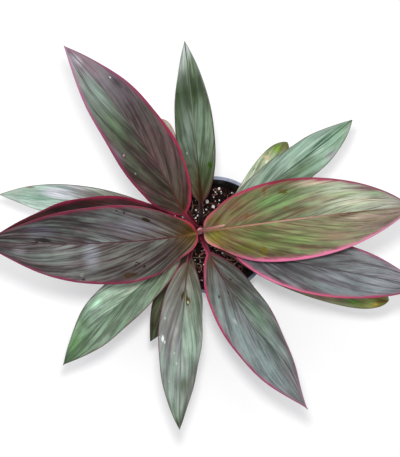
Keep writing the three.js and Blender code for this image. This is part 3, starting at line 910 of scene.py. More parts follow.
def leafFinish(leaf):
    bench = FinishBench(leaf["piece"] + "Finish")
    reach, lateral, rimGap, line = [bench.attribute(key) for key in ("reach", "lateral", "rimGap", "line")]
    along = bench.times(reach, float(leaf["blade"]))
    seed = float(leaf["seed"])
    isLeft = bench.remap(lateral, -1.5, 1.5)

    def paint(key):
        return pigment(leaf[key], leaf["tone"])

    def coloursAlong(key):
        return bench.ramp(reach, [(u, pigment(c, leaf["tone"])) for u, c in leaf[key].items()])

    def streaked(key, x, y, offset):
        xRate, yRate, detail, roughness = growth[key]
        where = bench.place(bench.times(x, xRate), bench.times(y, yRate), offset)
        return bench.clouds(where, 1, detail, roughness)

    def tinted(colour, cloud, low, high, key):
        tint, amount = leaf[key]
        mask = bench.times(bench.remap(cloud, low, high), amount)
        return bench.blend(mask, colour, pigment(tint, leaf["tone"]))

    # vein streaks: fine lines, and broader bands and flows that run from the midrib out to the margin
    sideOffset = bench.plus(bench.times(isLeft, 5.0), seed + 7)
    fine = streaked("fineStreaks", line, along, seed)
    broad = streaked("broadStreaks", line, along, sideOffset)
    flow = streaked("flows", line, along, sideOffset)
    cloud = streaked("clouds", along, lateral, seed + 3)
    streak = bench.plus(bench.times(fine, 0.45), bench.times(broad, 0.55))

    # the two halves of the blade have their own colours from base to tip
    colour = bench.blend(isLeft, coloursAlong("right"), coloursAlong("left"))
    colour = tinted(colour, broad, 0.44, 0.64, "cast")
    colour = tinted(colour, flow, 0.48, 0.62, "flush")
    clouding, streaks = leaf["clouding"], leaf["streaks"]
    colour = bench.shade(colour, bench.remap(cloud, 0.25, 0.75, 1 - clouding, 1 + clouding))
    # soft patches: blotches of the leaf's own colour, and pale ones that are painted glare and sheen
    for patch in leaf["patches"]:
        colour = addMark(bench, colour, leaf, patch, along, lateral, broad, softMark)
    colour = bench.shade(colour, bench.remap(streak, 0.38, 0.62, 1 - streaks, 1 + streaks))
    colour = tinted(colour, streak, 0.5, 0.38, "vein")
    for spot in leaf["spots"]:
        colour = addMark(bench, colour, leaf, spot, along, lateral, fine, hardMark)

    # midrib, wide at the base and thin further out
    baseWidth, outerWidth = leaf["ribWidth"]
    ribHalf = bench.remap(reach, -0.02, 0.3, baseWidth / 2, outerWidth / 2)
    fromRib = bench.maths("DIVIDE", bench.maths("ABSOLUTE", lateral), ribHalf)
    colour = bench.blend(bench.remap(fromRib, 1.25, 0.7), colour, coloursAlong("rib"))

    # underside, stalk, and the coloured margin over them all
    underColour = bench.shade(paint("under"), bench.vary(fine, 0.85, 1.15))
    underColour = bench.blend(bench.remap(fromRib, 1.6, 0.9), underColour, paint("stem"))
    colour = bench.blend(bench.attribute("underside"), colour, underColour)
    stalkColour = bench.shade(paint("stem"), bench.vary(fine, 0.85, 1.15))
    colour = bench.blend(bench.remap(reach, 0.015, -0.05), colour, stalkColour)
    rimColour = bench.blend(isLeft, coloursAlong("rightRim"), coloursAlong("leftRim"))
    leftWidth, rightWidth = leaf["rimWidth"]
    rimWidth = bench.remap(lateral, -1.5, 1.5, rightWidth, leftWidth)
    rimWidth = bench.times(rimWidth, bench.vary(cloud, 0.75, 1.2))
    rimWidth = bench.times(rimWidth, bench.remap(reach, 0.5, 1.0, 1.0, 0.7))
    fromRim = bench.plus(bench.maths("DIVIDE", rimGap, rimWidth), bench.vary(fine, -0.2, 0.2))
    onBlade = bench.remap(reach, -0.12, 0.02, 0.25, 1.0)
    colour = bench.blend(bench.times(bench.remap(fromRim, 2.4, 0.9, 0.0, 0.3), onBlade), colour, rimColour)
    colour = bench.blend(bench.times(bench.remap(fromRim, 1.2, 0.6), onBlade), colour, rimColour)

    gloss = bench.vary(fine, leaf["roughness"] - 0.06, leaf["roughness"] + 0.08)
    return bench.complete(colour, gloss, growth, bench.plus(fine, bench.times(broad, 0.6)))


# A mark on the blade is (place along, place across, length, width, colour, how much of it shows).
# Soft patches fade out far past their size; spots end within a ragged rim.
softMark = {"fray": 0.35, "inner": 0.1, "outer": 1.5}
hardMark = {"fray": 0.6, "inner": 0.65, "outer": 1.15}


def addMark(bench, colour, leaf, mark, along, lateral, ragged, kind):
    u, across, length, width, tint, strength = mark
    half = float(leafHalfWidth(leaf, growth["narrowing"], u))
    x = bench.maths("DIVIDE", bench.maths("SUBTRACT", along, u * leaf["blade"]), length / 2)
    y = bench.maths("DIVIDE", bench.maths("SUBTRACT", lateral, across * half), width / 2)
    away = bench.add("VectorMath", {0: bench.place(x, y)}, operation="LENGTH").outputs["Value"]
    away = bench.plus(away, bench.vary(ragged, -kind["fray"], kind["fray"]))
    mask = bench.remap(away, kind["outer"], kind["inner"], 0.0, strength)
    return bench.blend(mask, colour, pigment(tint, leaf["tone"]))


print("growing the leaves")

# In each leaf's dictionary, colours stand by their place from base (0) to tip (1), and left and right are
# as seen from its base

leftLarge = {
    "piece": "leftLargeLeaf", "replaces": "leaf_left_large", "slot": "leaf_bronze", "seed": 12,
    "height": 240, "headings": (211, 188, 175), "slopes": (95, 68, 14, 3), "stalk": 23.5, "blade": 246,
    "width": 82, "outline": (0.93, 1.25, 0.9), "roll": 6, "fold": -0.02, "arch": 0.55,
    "wave": (1.6, 3, 0.1), "lean": 1, "tone": 0.52, "streaks": 0.56, "clouding": 0.22,
    "cast": ("717f76", 0.5), "flush": ("5c4448", 0.45), "vein": ("43332f", 0.5), "under": "6a4650",
    "stem": "8a2f44", "ribWidth": (3.4, 1.2), "rimWidth": (2.2, 2.9),
    "left": {0.05: "80694e", 0.22: "564d48", 0.42: "645e5a", 0.62: "787675", 0.85: "5c575a", 0.98: "2e2a2c"},
    "right": {0.05: "57452a", 0.25: "6a5b57", 0.42: "5a5559", 0.65: "444141", 0.85: "3b3034",
              0.98: "281a22"},
    "rib": {0: "a88a4c", 0.1: "7a5a3c", 0.25: "56323a", 0.8: "4a3a40"},
    "leftRim": {0: "d05c6c", 0.15: "a83658", 0.5: "962e54", 0.8: "a03c62", 1: "84405a"},
    "rightRim": {0: "d05058", 0.12: "b02c4c", 0.5: "94244a", 0.8: "7c2442", 1: "5c2636"},
    "patches": [
        (0.05, -0.35, 50, 26, "5c4616", 0.85), (0.2, -0.62, 40, 12, "4e3e20", 0.6),
        # the pale blue-grey patches at 0.55 and 0.828 are painted sheen
        (0.04, 0.25, 26, 16, "726030", 0.7), (0.55, 0.28, 15, 26, "a0a4ae", 0.65),
        (0.828, 0.36, 13, 7, "a6a2a8", 0.55), (0.35, -0.4, 60, 20, "7c7a84", 0.6),
        (0.75, -0.45, 30, 14, "6c6a7a", 0.5), (0.7, 0.45, 40, 12, "79867c", 0.5),
        (0.3, 0.3, 36, 12, "4c4440", 0.6),
    ],
    "spots": [
        (0.762, -0.05, 9, 6, "33230f", 0.95), (0.735, -0.12, 11, 6, "241a10", 1),
        (0.655, 0.02, 8, 1.2, "2a2024", 0.7), (0.633, -0.93, 7, 3.4, "3c2226", 0.95),
        (0.43, -0.82, 4, 2.2, "4a3038", 0.95), (0.395, -0.75, 3, 3, "302028", 0.95),
        (0.296, -0.57, 8.5, 5.4, "33281c", 1), (0.365, 0.53, 5.4, 4.6, "2a2014", 0.95),
        (0.365, 0.54, 2, 1.6, "8a8070", 0.95), (0.328, 0.65, 3, 3, "33261c", 0.95),
        (0.398, 0.8, 10, 6, "4c3720", 0.85), (0.37, 0.8, 7, 4, "402e1c", 0.8),
        (0.42, 0.7, 5, 3, "4c3c30", 0.6), (0.588, 0.79, 4.4, 3.8, "9c9e94", 0.95),
        (0.588, 0.79, 2, 1.8, "5c5c54", 0.95), (0.582, 0.9, 4, 2.4, "3a2830", 0.95),
        (0.225, 0.55, 4, 3, "43341f", 0.6),
    ],
}
makeLeaf(leftLarge)

rightLarge = {
    "piece": "rightLargeLeaf", "replaces": "leaf_right_large", "slot": "leaf_olive", "seed": 5,
    "height": 233, "headings": (-3, 9, 5), "slopes": (90, 80, 18, -22), "stalk": 18, "blade": 255,
    "width": 83, "outline": (0.81, 0.85, 0.45), "roll": 0, "fold": 0.12, "arch": 0.41,
    "wave": (1.4, 2.6, 0.4), "lean": 1, "tone": 0.62, "streaks": 0.38, "clouding": 0.18,
    "cast": ("6e8a5a", 0.5), "flush": ("80685a", 0.38), "vein": ("584838", 0.55), "under": "8a6a62",
    "stem": "a84a58", "ribWidth": (3, 1.5), "rimWidth": (3.2, 3.4),
    "left": {0.04: "8f6c34", 0.2: "7f694c", 0.38: "626244", 0.54: "677052", 0.72: "aeb6a0", 0.97: "a8a69e"},
    "right": {0.04: "c8a45c", 0.22: "806a46", 0.4: "686240", 0.56: "6e6c50", 0.72: "867a68", 0.95: "9c847e"},
    "rib": {0: "d0c878", 0.1: "c0a070", 0.25: "a87868", 0.55: "a88478", 0.75: "5e4838", 0.95: "8a8070"},
    "leftRim": {0: "e08488", 0.12: "cc4a68", 0.35: "b03c5c", 0.48: "7e2438", 0.65: "a04c60", 1: "8e5a6c"},
    "rightRim": {0: "e8c0a8", 0.08: "e8908c", 0.25: "e0749a", 0.6: "f080aa", 0.8: "f290b2", 1: "e098b6"},
    "patches": [
        (0.45, 0.5, 48, 18, "6f9a5e", 0.65), (0.1, -0.3, 44, 14, "9c9a2c", 0.8),
        (0.3, -0.6, 44, 14, "626824", 0.6), (0.52, -0.5, 64, 10, "84a060", 0.6),
        (0.44, -0.13, 60, 6, "75594a", 0.6), (0.66, -0.55, 50, 9, "8f7464", 0.5),
        (0.3, 0.22, 54, 8, "80584a", 0.5), (0.6, 0.45, 46, 7, "7c6450", 0.5),
        (0.14, 0.55, 30, 14, "7a6a34", 0.7), (0.26, 0.66, 36, 12, "7e5a46", 0.6),
        (0.38, -0.25, 46, 12, "64804a", 0.6), (0.62, 0.87, 46, 7, "c4b09c", 0.85),
        (0.56, 0.22, 34, 7, "5e4834", 0.75), (0.7, -0.06, 34, 5, "5c4636", 0.8),
        (0.78, 0.35, 44, 7, "ccc8ae", 0.7), (0.72, 0.55, 40, 5, "a2b486", 0.6),
        (0.86, 0.75, 26, 6, "93b083", 0.7), (0.78, -0.15, 40, 5, "c4b2a0", 0.6),
        (0.56, -0.72, 40, 6, "6e5644", 0.5), (0.85, 0.92, 50, 6, "7c4c58", 0.7),
        (0.66, -0.3, 50, 6, "8c9468", 0.6), (0.5, -0.3, 40, 5, "a0ac78", 0.5),
    ],
    "spots": [
        (0.407, 0.8, 5, 9, "6b4a2c", 0.7), (0.49, 0.68, 10, 5, "52451f", 0.85),
        (0.329, 0.28, 8, 5, "6c5430", 0.8), (0.493, 0.3, 6, 4, "685034", 0.7),
        (0.379, -0.66, 7, 10, "6a640c", 0.8), (0.36, -0.78, 8, 4, "6a620c", 0.6),
        (0.378, -0.91, 9, 4, "5e1c16", 0.95),
    ],
}
makeLeaf(rightLarge)

upperLeft = {
    "piece": "upperLeftLeaf", "replaces": "leaf_upper_left", "slot": "leaf_bronze", "seed": 1,
    "height": 226, "headings": (138.5, 114.5, 135.5), "slopes": (69.5, 70, 24, 1), "stalk": 55.5,
    "blade": 226, "width": 65.5, "outline": (0.93, 1.02, 0.5), "roll": 25, "fold": 0.18, "arch": 0.21,
    "wave": (1.6, 2.8, 0.2), "lean": 1.25, "tone": 0.56, "streaks": 0.4, "roughness": 0.4,
    "cast": ("56604e", 0.4), "flush": ("6a464e", 0.4), "vein": ("3a2a28", 0.45), "under": "5e4048",
    "stem": "7c2838", "ribWidth": (3, 1.2), "rimWidth": (2.2, 3.1),
    # the pale grey-lilac at the tips of both halves is painted glare
    "left": {0.05: "5c463c", 0.25: "443b35", 0.4: "3f3934", 0.58: "4b4c44", 0.78: "757f78", 0.97: "a89eaa"},
    "right": {0.05: "55402f", 0.3: "544644", 0.6: "554c4c", 0.8: "756c74", 0.97: "ac94a0"},
    "rib": {0: "7e4a30", 0.2: "54362e", 0.5: "523e3e", 0.9: "6d6c70"},
    "leftRim": {0: "a83050", 0.3: "7c2c46", 0.5: "7a3850", 0.75: "985478", 1: "b288a0"},
    "rightRim": {0: "c03a58", 0.25: "b4305a", 0.55: "9c2c52", 0.8: "984a70", 1: "9a7086"},
    "patches": [
        (0.78, 0.36, 40, 14, "86988e", 0.6), (0.627, 0.48, 34, 12, "5f7858", 0.6),
        # the pale lilac patch at 0.922 is painted glare
        (0.922, 0.05, 14, 7, "d0ccd8", 0.8), (0.755, -0.63, 14, 8, "3f363e", 0.8),
        (0.525, 0.88, 22, 8, "6d6072", 0.6), (0.4, -0.3, 60, 14, "50443c", 0.4),
    ],
    "spots": [
        (0.787, -0.62, 2.4, 2, "e6e8e6", 0.8), (0.5, 0.75, 5, 5, "553237", 0.6),
        # the small pale spot at 0.502 is a painted highlight on the dark ring
        (0.502, 0.74, 2.2, 2, "b8a8ae", 0.45), (0.409, 0.76, 2.2, 1.6, "a4a2a0", 0.5),
    ],
}
makeLeaf(upperLeft)

rightLower = {
    "piece": "rightLowerLeaf", "replaces": "leaf_right_lower", "slot": "leaf_bronze", "seed": 6,
    "height": 219, "headings": (-38, -10, -12), "slopes": (62, 35, 1, -22), "stalk": 60, "blade": 229,
    "width": 60, "outline": (0.9, 1.2, 0.5), "roll": -4, "fold": 0.27, "arch": 0.28,
    "wave": (1.8, 3.2, 0.7), "lean": 1.2, "tone": 0.62, "streaks": 0.38, "cast": ("667a76", 0.45),
    "flush": ("8c9094", 0.35), "vein": ("464044", 0.42), "under": "6a505a", "ribWidth": (3, 1.2),
    "rimWidth": (2, 2.5),
    "left": {0.05: "5c5454", 0.5: "6a6769", 0.7: "86868a", 0.88: "978e97", 0.98: "7c787c"},
    "right": {0.05: "6c5862", 0.25: "483e40", 0.42: "6a666a", 0.56: "75757b", 0.7: "8a8c92", 0.9: "757078"},
    "rib": {0: "7a4040", 0.3: "483a3e", 0.9: "6a6c70"},
    "leftRim": {0: "b84a68", 0.5: "a03c5c", 0.8: "b0688a", 1: "a87890"},
    "rightRim": {0: "d84a7c", 0.22: "e07ca0", 0.45: "cc6080", 0.7: "b44a6a", 1: "984c66"},
    "patches": [
        # the pale grey patches at 0.72 and 0.5 are painted glare
        (0.35, -0.2, 60, 20, "575c5e", 0.5), (0.72, -0.3, 40, 12, "959a9e", 0.5),
        (0.5, -0.3, 40, 7, "8e9296", 0.6), (0.42, 0.1, 50, 8, "4a4446", 0.5),
    ],
}
makeLeaf(rightLower)

leftMaroon = {
    "piece": "leftMaroonLeaf", "replaces": "leaf_left_maroon", "slot": "leaf_maroon", "seed": 13,
    "height": 212, "headings": (145, 183.5, 191), "slopes": (63, 42, -5.5, -23.5), "stalk": 46.5,
    "blade": 228, "width": 61, "outline": (0.95, 1.28, 0.12), "roll": 7.5, "fold": 0.26, "arch": 0.3,
    "wave": (2.2, 3.4, 0.3), "lean": 1.3, "tone": 0.36, "streaks": 0.5, "roughness": 0.4,
    "cast": ("5c3026", 0.3), "flush": ("5e3230", 0.25), "vein": ("2c1214", 0.5), "under": "5a3440",
    "ribWidth": (3.2, 1.4), "rimWidth": (2, 2.6),
    "left": {0.05: "4a2a2c", 0.5: "4c3438", 0.95: "463438"},
    "right": {0.05: "4e2628", 0.25: "503436", 0.42: "4a2826", 0.6: "481814", 0.75: "4c161e", 0.97: "401e24"},
    "rib": {0: "7a3a3c", 0.4: "4a2c32", 0.9: "4a3a40"},
    "leftRim": {0: "a83a54", 0.6: "983450", 1: "7a3448"},
    "rightRim": {0: "b83458", 0.35: "b02a54", 0.6: "a0284c", 0.8: "82243e", 1: "6c2238"},
    "patches": [(0.55, -0.66, 70, 9, "30100f", 0.6), (0.3, -0.5, 40, 10, "5e464a", 0.5)],
}
makeLeaf(leftMaroon)

lowerRight = {
    "piece": "lowerRightLeaf", "replaces": "leaf_lower_right", "slot": "leaf_bronze", "seed": 8,
    "height": 205, "headings": (-72, -59.5, -55), "slopes": (64, 49, 2, -16), "stalk": 39.5, "blade": 218.5,
    "width": 61.5, "outline": (1, 1.29, 0.73), "roll": -20.5, "fold": 0.25, "arch": 0.35,
    "wave": (1.6, 3, 0.5), "lean": 1.35, "tone": 0.68, "streaks": 0.36, "cast": ("6c827c", 0.45),
    "flush": ("6e666a", 0.3), "vein": ("46403e", 0.4), "under": "6a505a", "stem": "7a2436",
    "ribWidth": (2.4, 1.3), "rimWidth": (1.5, 2.1),
    "left": {0.05: "4e403c", 0.25: "4a4741", 0.45: "6e786e", 0.62: "747e7a", 0.85: "786e74", 0.98: "98848e"},
    "right": {0.05: "5c4c45", 0.25: "686c68", 0.45: "788080", 0.75: "7e8a8a", 0.97: "8c8088"},
    "rib": {0: "744046", 0.12: "56383c", 0.35: "50484a", 0.6: "68706e", 0.95: "6a7070"},
    "leftRim": {0: "86304a", 0.12: "602c3a", 0.35: "564044", 0.55: "8c4664", 0.8: "b85c84", 1: "a87890"},
    "rightRim": {0: "cc4c70", 0.25: "ac3e62", 0.5: "8a3a56", 0.75: "a04a6c", 1: "a86c88"},
    "patches": [
        (0.444, 0.38, 50, 10, "6c8a72", 0.65), (0.62, 0.14, 60, 7, "3a443d", 0.7),
        # the small pale patch at 0.405 is a painted highlight
        (0.405, -0.45, 9, 3.4, "b4b8bb", 0.6), (0.86, -0.1, 30, 10, "7d8f86", 0.5),
        (0.06, -0.1, 30, 12, "5c4a2c", 0.6), (0.68, 0.6, 22, 8, "97a59c", 0.5),
    ],
    "spots": [
        (0.212, 0.28, 3.8, 3, "3a2a1c", 0.85), (0.268, -0.52, 3.6, 3, "3a3024", 0.8),
        (0.27, -0.12, 3, 2.2, "40302a", 0.6), (0.31, 0.1, 2.2, 1.8, "3c3028", 0.6),
    ],
}
makeLeaf(lowerRight)

topLeaf = {
    "piece": "topLeaf", "replaces": "leaf_top", "slot": "leaf_green", "seed": 2, "height": 198,
    "headings": (85.5, 95, 97), "slopes": (62, 45, 5, -17), "stalk": 48.5, "blade": 190, "width": 43.5,
    "outline": (0.74, 1, 0.25), "roll": -10, "fold": 0.33, "arch": 0.22, "wave": (1.3, 3.3, 0.8),
    "lean": 1.7, "tone": 0.58, "streaks": 0.38, "roughness": 0.36, "cast": ("4f6a50", 0.3),
    "flush": ("3c4a2e", 0.4), "vein": ("33402c", 0.4), "under": "6a7464", "stem": "32141a",
    "ribWidth": (5, 1.1), "rimWidth": (1, 1.1),
    # the pale grey-green at the tips of both halves is painted glare
    "left": {0.04: "66503e", 0.2: "646050", 0.42: "647060", 0.68: "343f2a", 0.84: "a4b0a2", 0.97: "d0d6d2"},
    "right": {0.04: "625040", 0.2: "50583e", 0.42: "7e907a", 0.68: "4d5c43", 0.85: "93a68f", 0.97: "c0cac4"},
    "rib": {0: "46281c", 0.15: "44301f", 0.3: "4c4c3c", 0.5: "707a6c", 0.9: "566248"},
    "leftRim": {0: "5a3a38", 0.5: "46483c", 1: "a8aca8"},
    "rightRim": {0: "5c3438", 0.5: "48403a", 1: "a0a8a2"},
    "patches": [
        (0.44, 0.4, 70, 11, "82948a", 0.5), (0.7, 0.2, 46, 26, "3a4a30", 0.6),
        (0.06, 0, 44, 10, "4a3020", 0.6), (0.5, 0.1, 26, 12, "90a292", 0.5),
        (0.3, -0.2, 16, 9, "8aa088", 0.5), (0.88, -0.7, 30, 7, "4e6440", 0.6),
        # the pale patch at the tip (0.94) is painted glare
        (0.94, 0.1, 26, 14, "c0c8c4", 0.7), (0.5, -0.4, 50, 9, "75907a", 0.45),
        (0.68, -0.45, 24, 12, "36442c", 0.6), (0.86, 0.55, 22, 7, "b8c2bc", 0.6),
        (0.4, 0.5, 12, 8, "8fa494", 0.5), (0.25, 0.55, 7, 6, "2e3a2c", 0.6),
    ],
    "spots": [
        (0.651, -0.94, 3.4, 3, "26241c", 0.95), (0.25, -0.7, 8, 6.4, "34501a", 1),
        (0.33, 0.5, 2.6, 1.8, "c4ccc4", 0.4),
    ],
}
makeLeaf(topLeaf)

bottomLeaf = {
    "piece": "bottomLeaf", "replaces": "leaf_bottom", "slot": "leaf_green", "seed": 9, "height": 191,
    "headings": (-117, -95, -90), "slopes": (60, 39, 4, -17), "stalk": 54, "blade": 197, "width": 51,
    "outline": (0.7, 0.97, 0.3), "roll": -18, "fold": 0.2, "arch": 0.35, "wave": (1.5, 3.6, 0.15),
    "lean": 1.7, "tone": 0.7, "streaks": 0.32, "roughness": 0.36, "cast": ("7f9a84", 0.4),
    "flush": ("8a7c7c", 0.35), "vein": ("5a5e50", 0.4), "under": "6f6c68", "ribWidth": (2.4, 1.1),
    "rimWidth": (0.7, 0.9),
    "left": {0.05: "5e524c", 0.25: "6d7566", 0.5: "9aac9e", 0.7: "717b73", 0.86: "6e786a", 0.98: "3e4636"},
    "right": {0.05: "746a62", 0.25: "7a7a74", 0.5: "7b7f80", 0.75: "859089", 0.9: "849684", 0.99: "363e32"},
    "rib": {0: "62463c", 0.2: "57504a", 0.45: "747c76", 0.9: "66766a"},
    "leftRim": {0: "6a3a44", 0.4: "7a6e6e", 1: "6e6c68"},
    "rightRim": {0: "8a4a5c", 0.3: "7a5e66", 0.7: "706466", 1: "6e6660"},
    "patches": [
        # the pale patch at 0.832 near the tip is painted glare
        (0.832, 0.03, 26, 9, "b4c2b6", 0.7), (0.99, 0, 26, 18, "333b2a", 0.85),
        (0.72, 0.3, 16, 16, "56604e", 0.6), (0.45, 0.5, 60, 8, "9ab8a0", 0.5),
        (0.62, 0, 26, 10, "aab6ae", 0.6), (0.78, -0.6, 18, 8, "a4b0aa", 0.5),
        (0.05, 0, 30, 12, "5c5234", 0.6),
    ],
    "spots": [
        (0.246, 0.16, 10, 7, "4c3e1e", 0.95), (0.252, 0.2, 3.4, 2.2, "b8bc9c", 0.8),
        (0.221, -0.12, 8, 3.4, "453818", 0.95), (0.463, -0.82, 6, 2.2, "e6ecec", 0.85),
        (0.455, -0.93, 3, 1.4, "e6ecec", 0.75), (0.48, -0.74, 3, 1.2, "e6ecec", 0.6),
        (0.539, -0.32, 3, 1.8, "ccd4d2", 0.55), (0.597, -0.22, 3.4, 1.8, "ccd4d2", 0.55),
        (0.698, -0.62, 2.6, 1.8, "c8d0ce", 0.8), (0.352, -0.8, 2.6, 1.6, "ccd0d4", 0.55),
    ],
}
makeLeaf(bottomLeaf)

upperRight = {
    "piece": "upperRightLeaf", "replaces": "leaf_upper_right", "slot": "leaf_mint", "seed": 3,
    "height": 184, "headings": (28, 36, 39), "slopes": (62, 38, 1, -25), "stalk": 54, "blade": 191,
    "width": 48, "outline": (0.8, 0.95, 0.7), "roll": -23, "fold": 0.25, "arch": 0.3,
    "wave": (1.4, 3.1, 0.6), "tone": 0.72, "streaks": 0.36, "clouding": 0.18, "roughness": 0.36,
    "cast": ("728e7c", 0.4), "flush": ("7a9480", 0.4), "vein": ("4c6a56", 0.5), "under": "75806c",
    "ribWidth": (2.6, 1.5), "rimWidth": (1, 0.8),
    "left": {0.05: "808c80", 0.25: "8e9a8a", 0.45: "8b9d8e", 0.58: "859a89", 0.7: "82988a", 0.85: "92a595",
             0.97: "a6b4a6"},
    "right": {0.05: "5c6454", 0.4: "586450", 0.55: "60715a", 0.7: "9cb4a2", 0.85: "869e86", 0.97: "a0a898"},
    "rib": {0: "6a4a44", 0.4: "5d6858", 0.6: "34583e", 0.9: "4c7458"},
    "leftRim": {0: "7a5050", 0.5: "6e6c66", 1: "6d6a58"},
    "rightRim": {0: "7a5050", 0.5: "6e7468", 1: "6d6a58"},
    "patches": [
        # the narrow dark line at 0.18 across is painted shade beside the folded midrib, and the pale line at
        # 0.34 a painted highlight
        (0.74, 0.18, 62, 4.5, "2a5034", 0.88), (0.66, 0.34, 60, 4, "b4d0bc", 0.7),
        (0.55, 0.6, 60, 8, "a9c4b4", 0.5), (0.6, -0.5, 50, 7, "5a7a5a", 0.5),
        (0.72, -0.86, 20, 7, "8a828a", 0.8), (0.99, 0, 8, 6, "6a5a3a", 0.8),
        (0.82, -0.35, 40, 6, "aed4b8", 0.6), (0.9, 0.2, 24, 8, "6c9474", 0.6),
        (0.4, 0.3, 40, 7, "6e8470", 0.5),
    ],
}
makeLeaf(upperRight)

lowerLeft = {
    "piece": "lowerLeftLeaf", "replaces": "leaf_lower_left", "slot": "leaf_mint", "seed": 10, "height": 177,
    "headings": (239, 215, 232), "slopes": (62, 41, -6, -22), "stalk": 48, "blade": 206, "width": 59,
    "outline": (1.07, 1.12, 0.3), "roll": 25, "fold": 0.42, "arch": 0.11, "wave": (1.6, 2.9, 0.35),
    "lean": 1.3, "tone": 0.84, "streaks": 0.42, "roughness": 0.36, "cast": ("6f9a78", 0.4),
    "flush": ("56704e", 0.4), "vein": ("4c5e48", 0.5), "under": "6f7868", "ribWidth": (2.4, 1.1),
    "rimWidth": (1, 1),
    "left": {0.08: "aca496", 0.25: "727c6c", 0.4: "6e7a6c", 0.5: "6e7a6c", 0.68: "7e8e7c", 0.84: "5e6e58",
             0.98: "363e32"},
    "right": {0.08: "8e8e80", 0.3: "aeb6a4", 0.48: "a4b6a4", 0.64: "7a8c7e", 0.8: "708a6a", 0.98: "3c4636"},
    "rib": {0: "8a4048", 0.2: "5a6a58", 0.8: "4f6a50"},
    "leftRim": {0: "8a4858", 0.4: "60484a", 1: "5a5248"},
    "rightRim": {0: "8a4858", 0.4: "6e5a60", 1: "545248"},
    "patches": [
        # the pale mint patch at 0.574 is painted glare
        (0.574, -0.65, 18, 9, "b4dcc0", 0.8), (0.71, -0.45, 12, 22, "566a4e", 0.6),
        (0.85, -0.4, 26, 14, "5c8450", 0.6), (0.58, 0.5, 26, 12, "566a50", 0.5),
        (0.42, -0.5, 30, 12, "a4bca6", 0.6), (0.78, 0.1, 24, 13, "44573b", 0.62),
        (0.66, -0.1, 16, 8, "9cb09c", 0.5), (0.9, 0.3, 20, 10, "4c6640", 0.5),
        (0.45, 0, 60, 4, "4c5a48", 0.5), (0.99, 0, 16, 12, "36382a", 0.85),
    ],
}
makeLeaf(lowerLeft)

upperRightShort = {
    "piece": "upperRightShortLeaf", "replaces": "leaf_upper_right_short", "slot": "leaf_mint", "seed": 4,
    "height": 170, "headings": (30, 45, 51), "slopes": (51, 15, -22, -34), "stalk": 15, "blade": 158,
    "width": 31, "outline": (1.55, 0.67, 0.35), "roll": -3, "wave": (1, 2.7, 0.5), "tone": 0.85,
    "streaks": 0.36, "cast": ("7c9678", 0.4), "flush": ("98a474", 0.35), "vein": ("5c6e44", 0.5),
    "under": "788068", "ribWidth": (2.4, 1.1), "rimWidth": (0.8, 0.8),
    "left": {0.1: "7c8676", 0.35: "ced6c4", 0.55: "b4c0ac", 0.72: "acb492", 0.88: "5a6a38", 0.99: "66603a"},
    "right": {0.1: "6c7666", 0.5: "8e9c88", 0.75: "8c9a74", 0.97: "6a6438"},
    "rib": {0: "6a5048", 0.5: "76806c", 0.9: "6f7a48"},
    "leftRim": {0: "6e6a5c", 0.6: "8a8a6c", 1: "6c5a34"},
    "rightRim": {0: "6e6a5c", 0.6: "7c8064", 1: "6c5a34"},
    "patches": [(0.86, 0.4, 20, 8, "7c9c30", 0.75), (0.98, 0.1, 12, 20, "6a5f34", 0.7)],
    "spots": [
        (0.725, 0.52, 7, 6, "ccb290", 0.9), (0.69, 0.3, 5, 3, "e4dcc8", 0.8),
        (0.77, 0.62, 5, 3.4, "8a7440", 0.8), (0.56, 0.7, 10, 3, "5f6f5c", 0.6),
    ],
}
makeLeaf(upperRightShort)

farLeft = {
    "piece": "farLeftLeaf", "replaces": "leaf_far_left", "slot": "leaf_mint", "seed": 14, "height": 163,
    "headings": (167, 165, 177), "slopes": (59, 32, -5, -24), "stalk": 53, "blade": 220, "width": 42,
    "outline": (0.76, 1.09, 0.8), "roll": -4, "wave": (1.4, 3.7, 0.2), "tone": 0.8, "streaks": 0.36,
    "clouding": 0.18, "roughness": 0.34, "cast": ("7fa48c", 0.4), "flush": ("94b09e", 0.35),
    "vein": ("5f8a72", 0.45), "under": "7c8478", "ribWidth": (2.6, 1.1), "rimWidth": (0.8, 0.9),
    "left": {0.1: "6a7064", 0.4: "84887c", 0.6: "a8b4ac", 0.78: "c0d2ca", 0.97: "b0b8b0"},
    "right": {0.1: "6a6c60", 0.4: "8e867f", 0.55: "b8b6bc", 0.68: "9aaea4", 0.8: "a8beb0", 0.97: "a4ac9f"},
    "rib": {0: "6a4a44", 0.4: "7a8276", 0.75: "7c9c8c", 0.95: "98a89a"},
    "leftRim": {0: "6e5a54", 0.6: "8e908a", 1: "949a8c"},
    "rightRim": {0: "5e4e48", 0.6: "6a6660", 1: "8c8e80"},
    "patches": [
        # the pale lilac patch at 0.63 is painted glare
        (0.63, -0.45, 40, 15, "d2cedc", 0.8), (0.4, -0.55, 56, 12, "584c48", 0.7),
        (0.79, -0.88, 14, 3.6, "5e5044", 0.8), (0.72, 0.1, 60, 4, "6fa084", 0.6),
    ],
}
makeLeaf(farLeft)

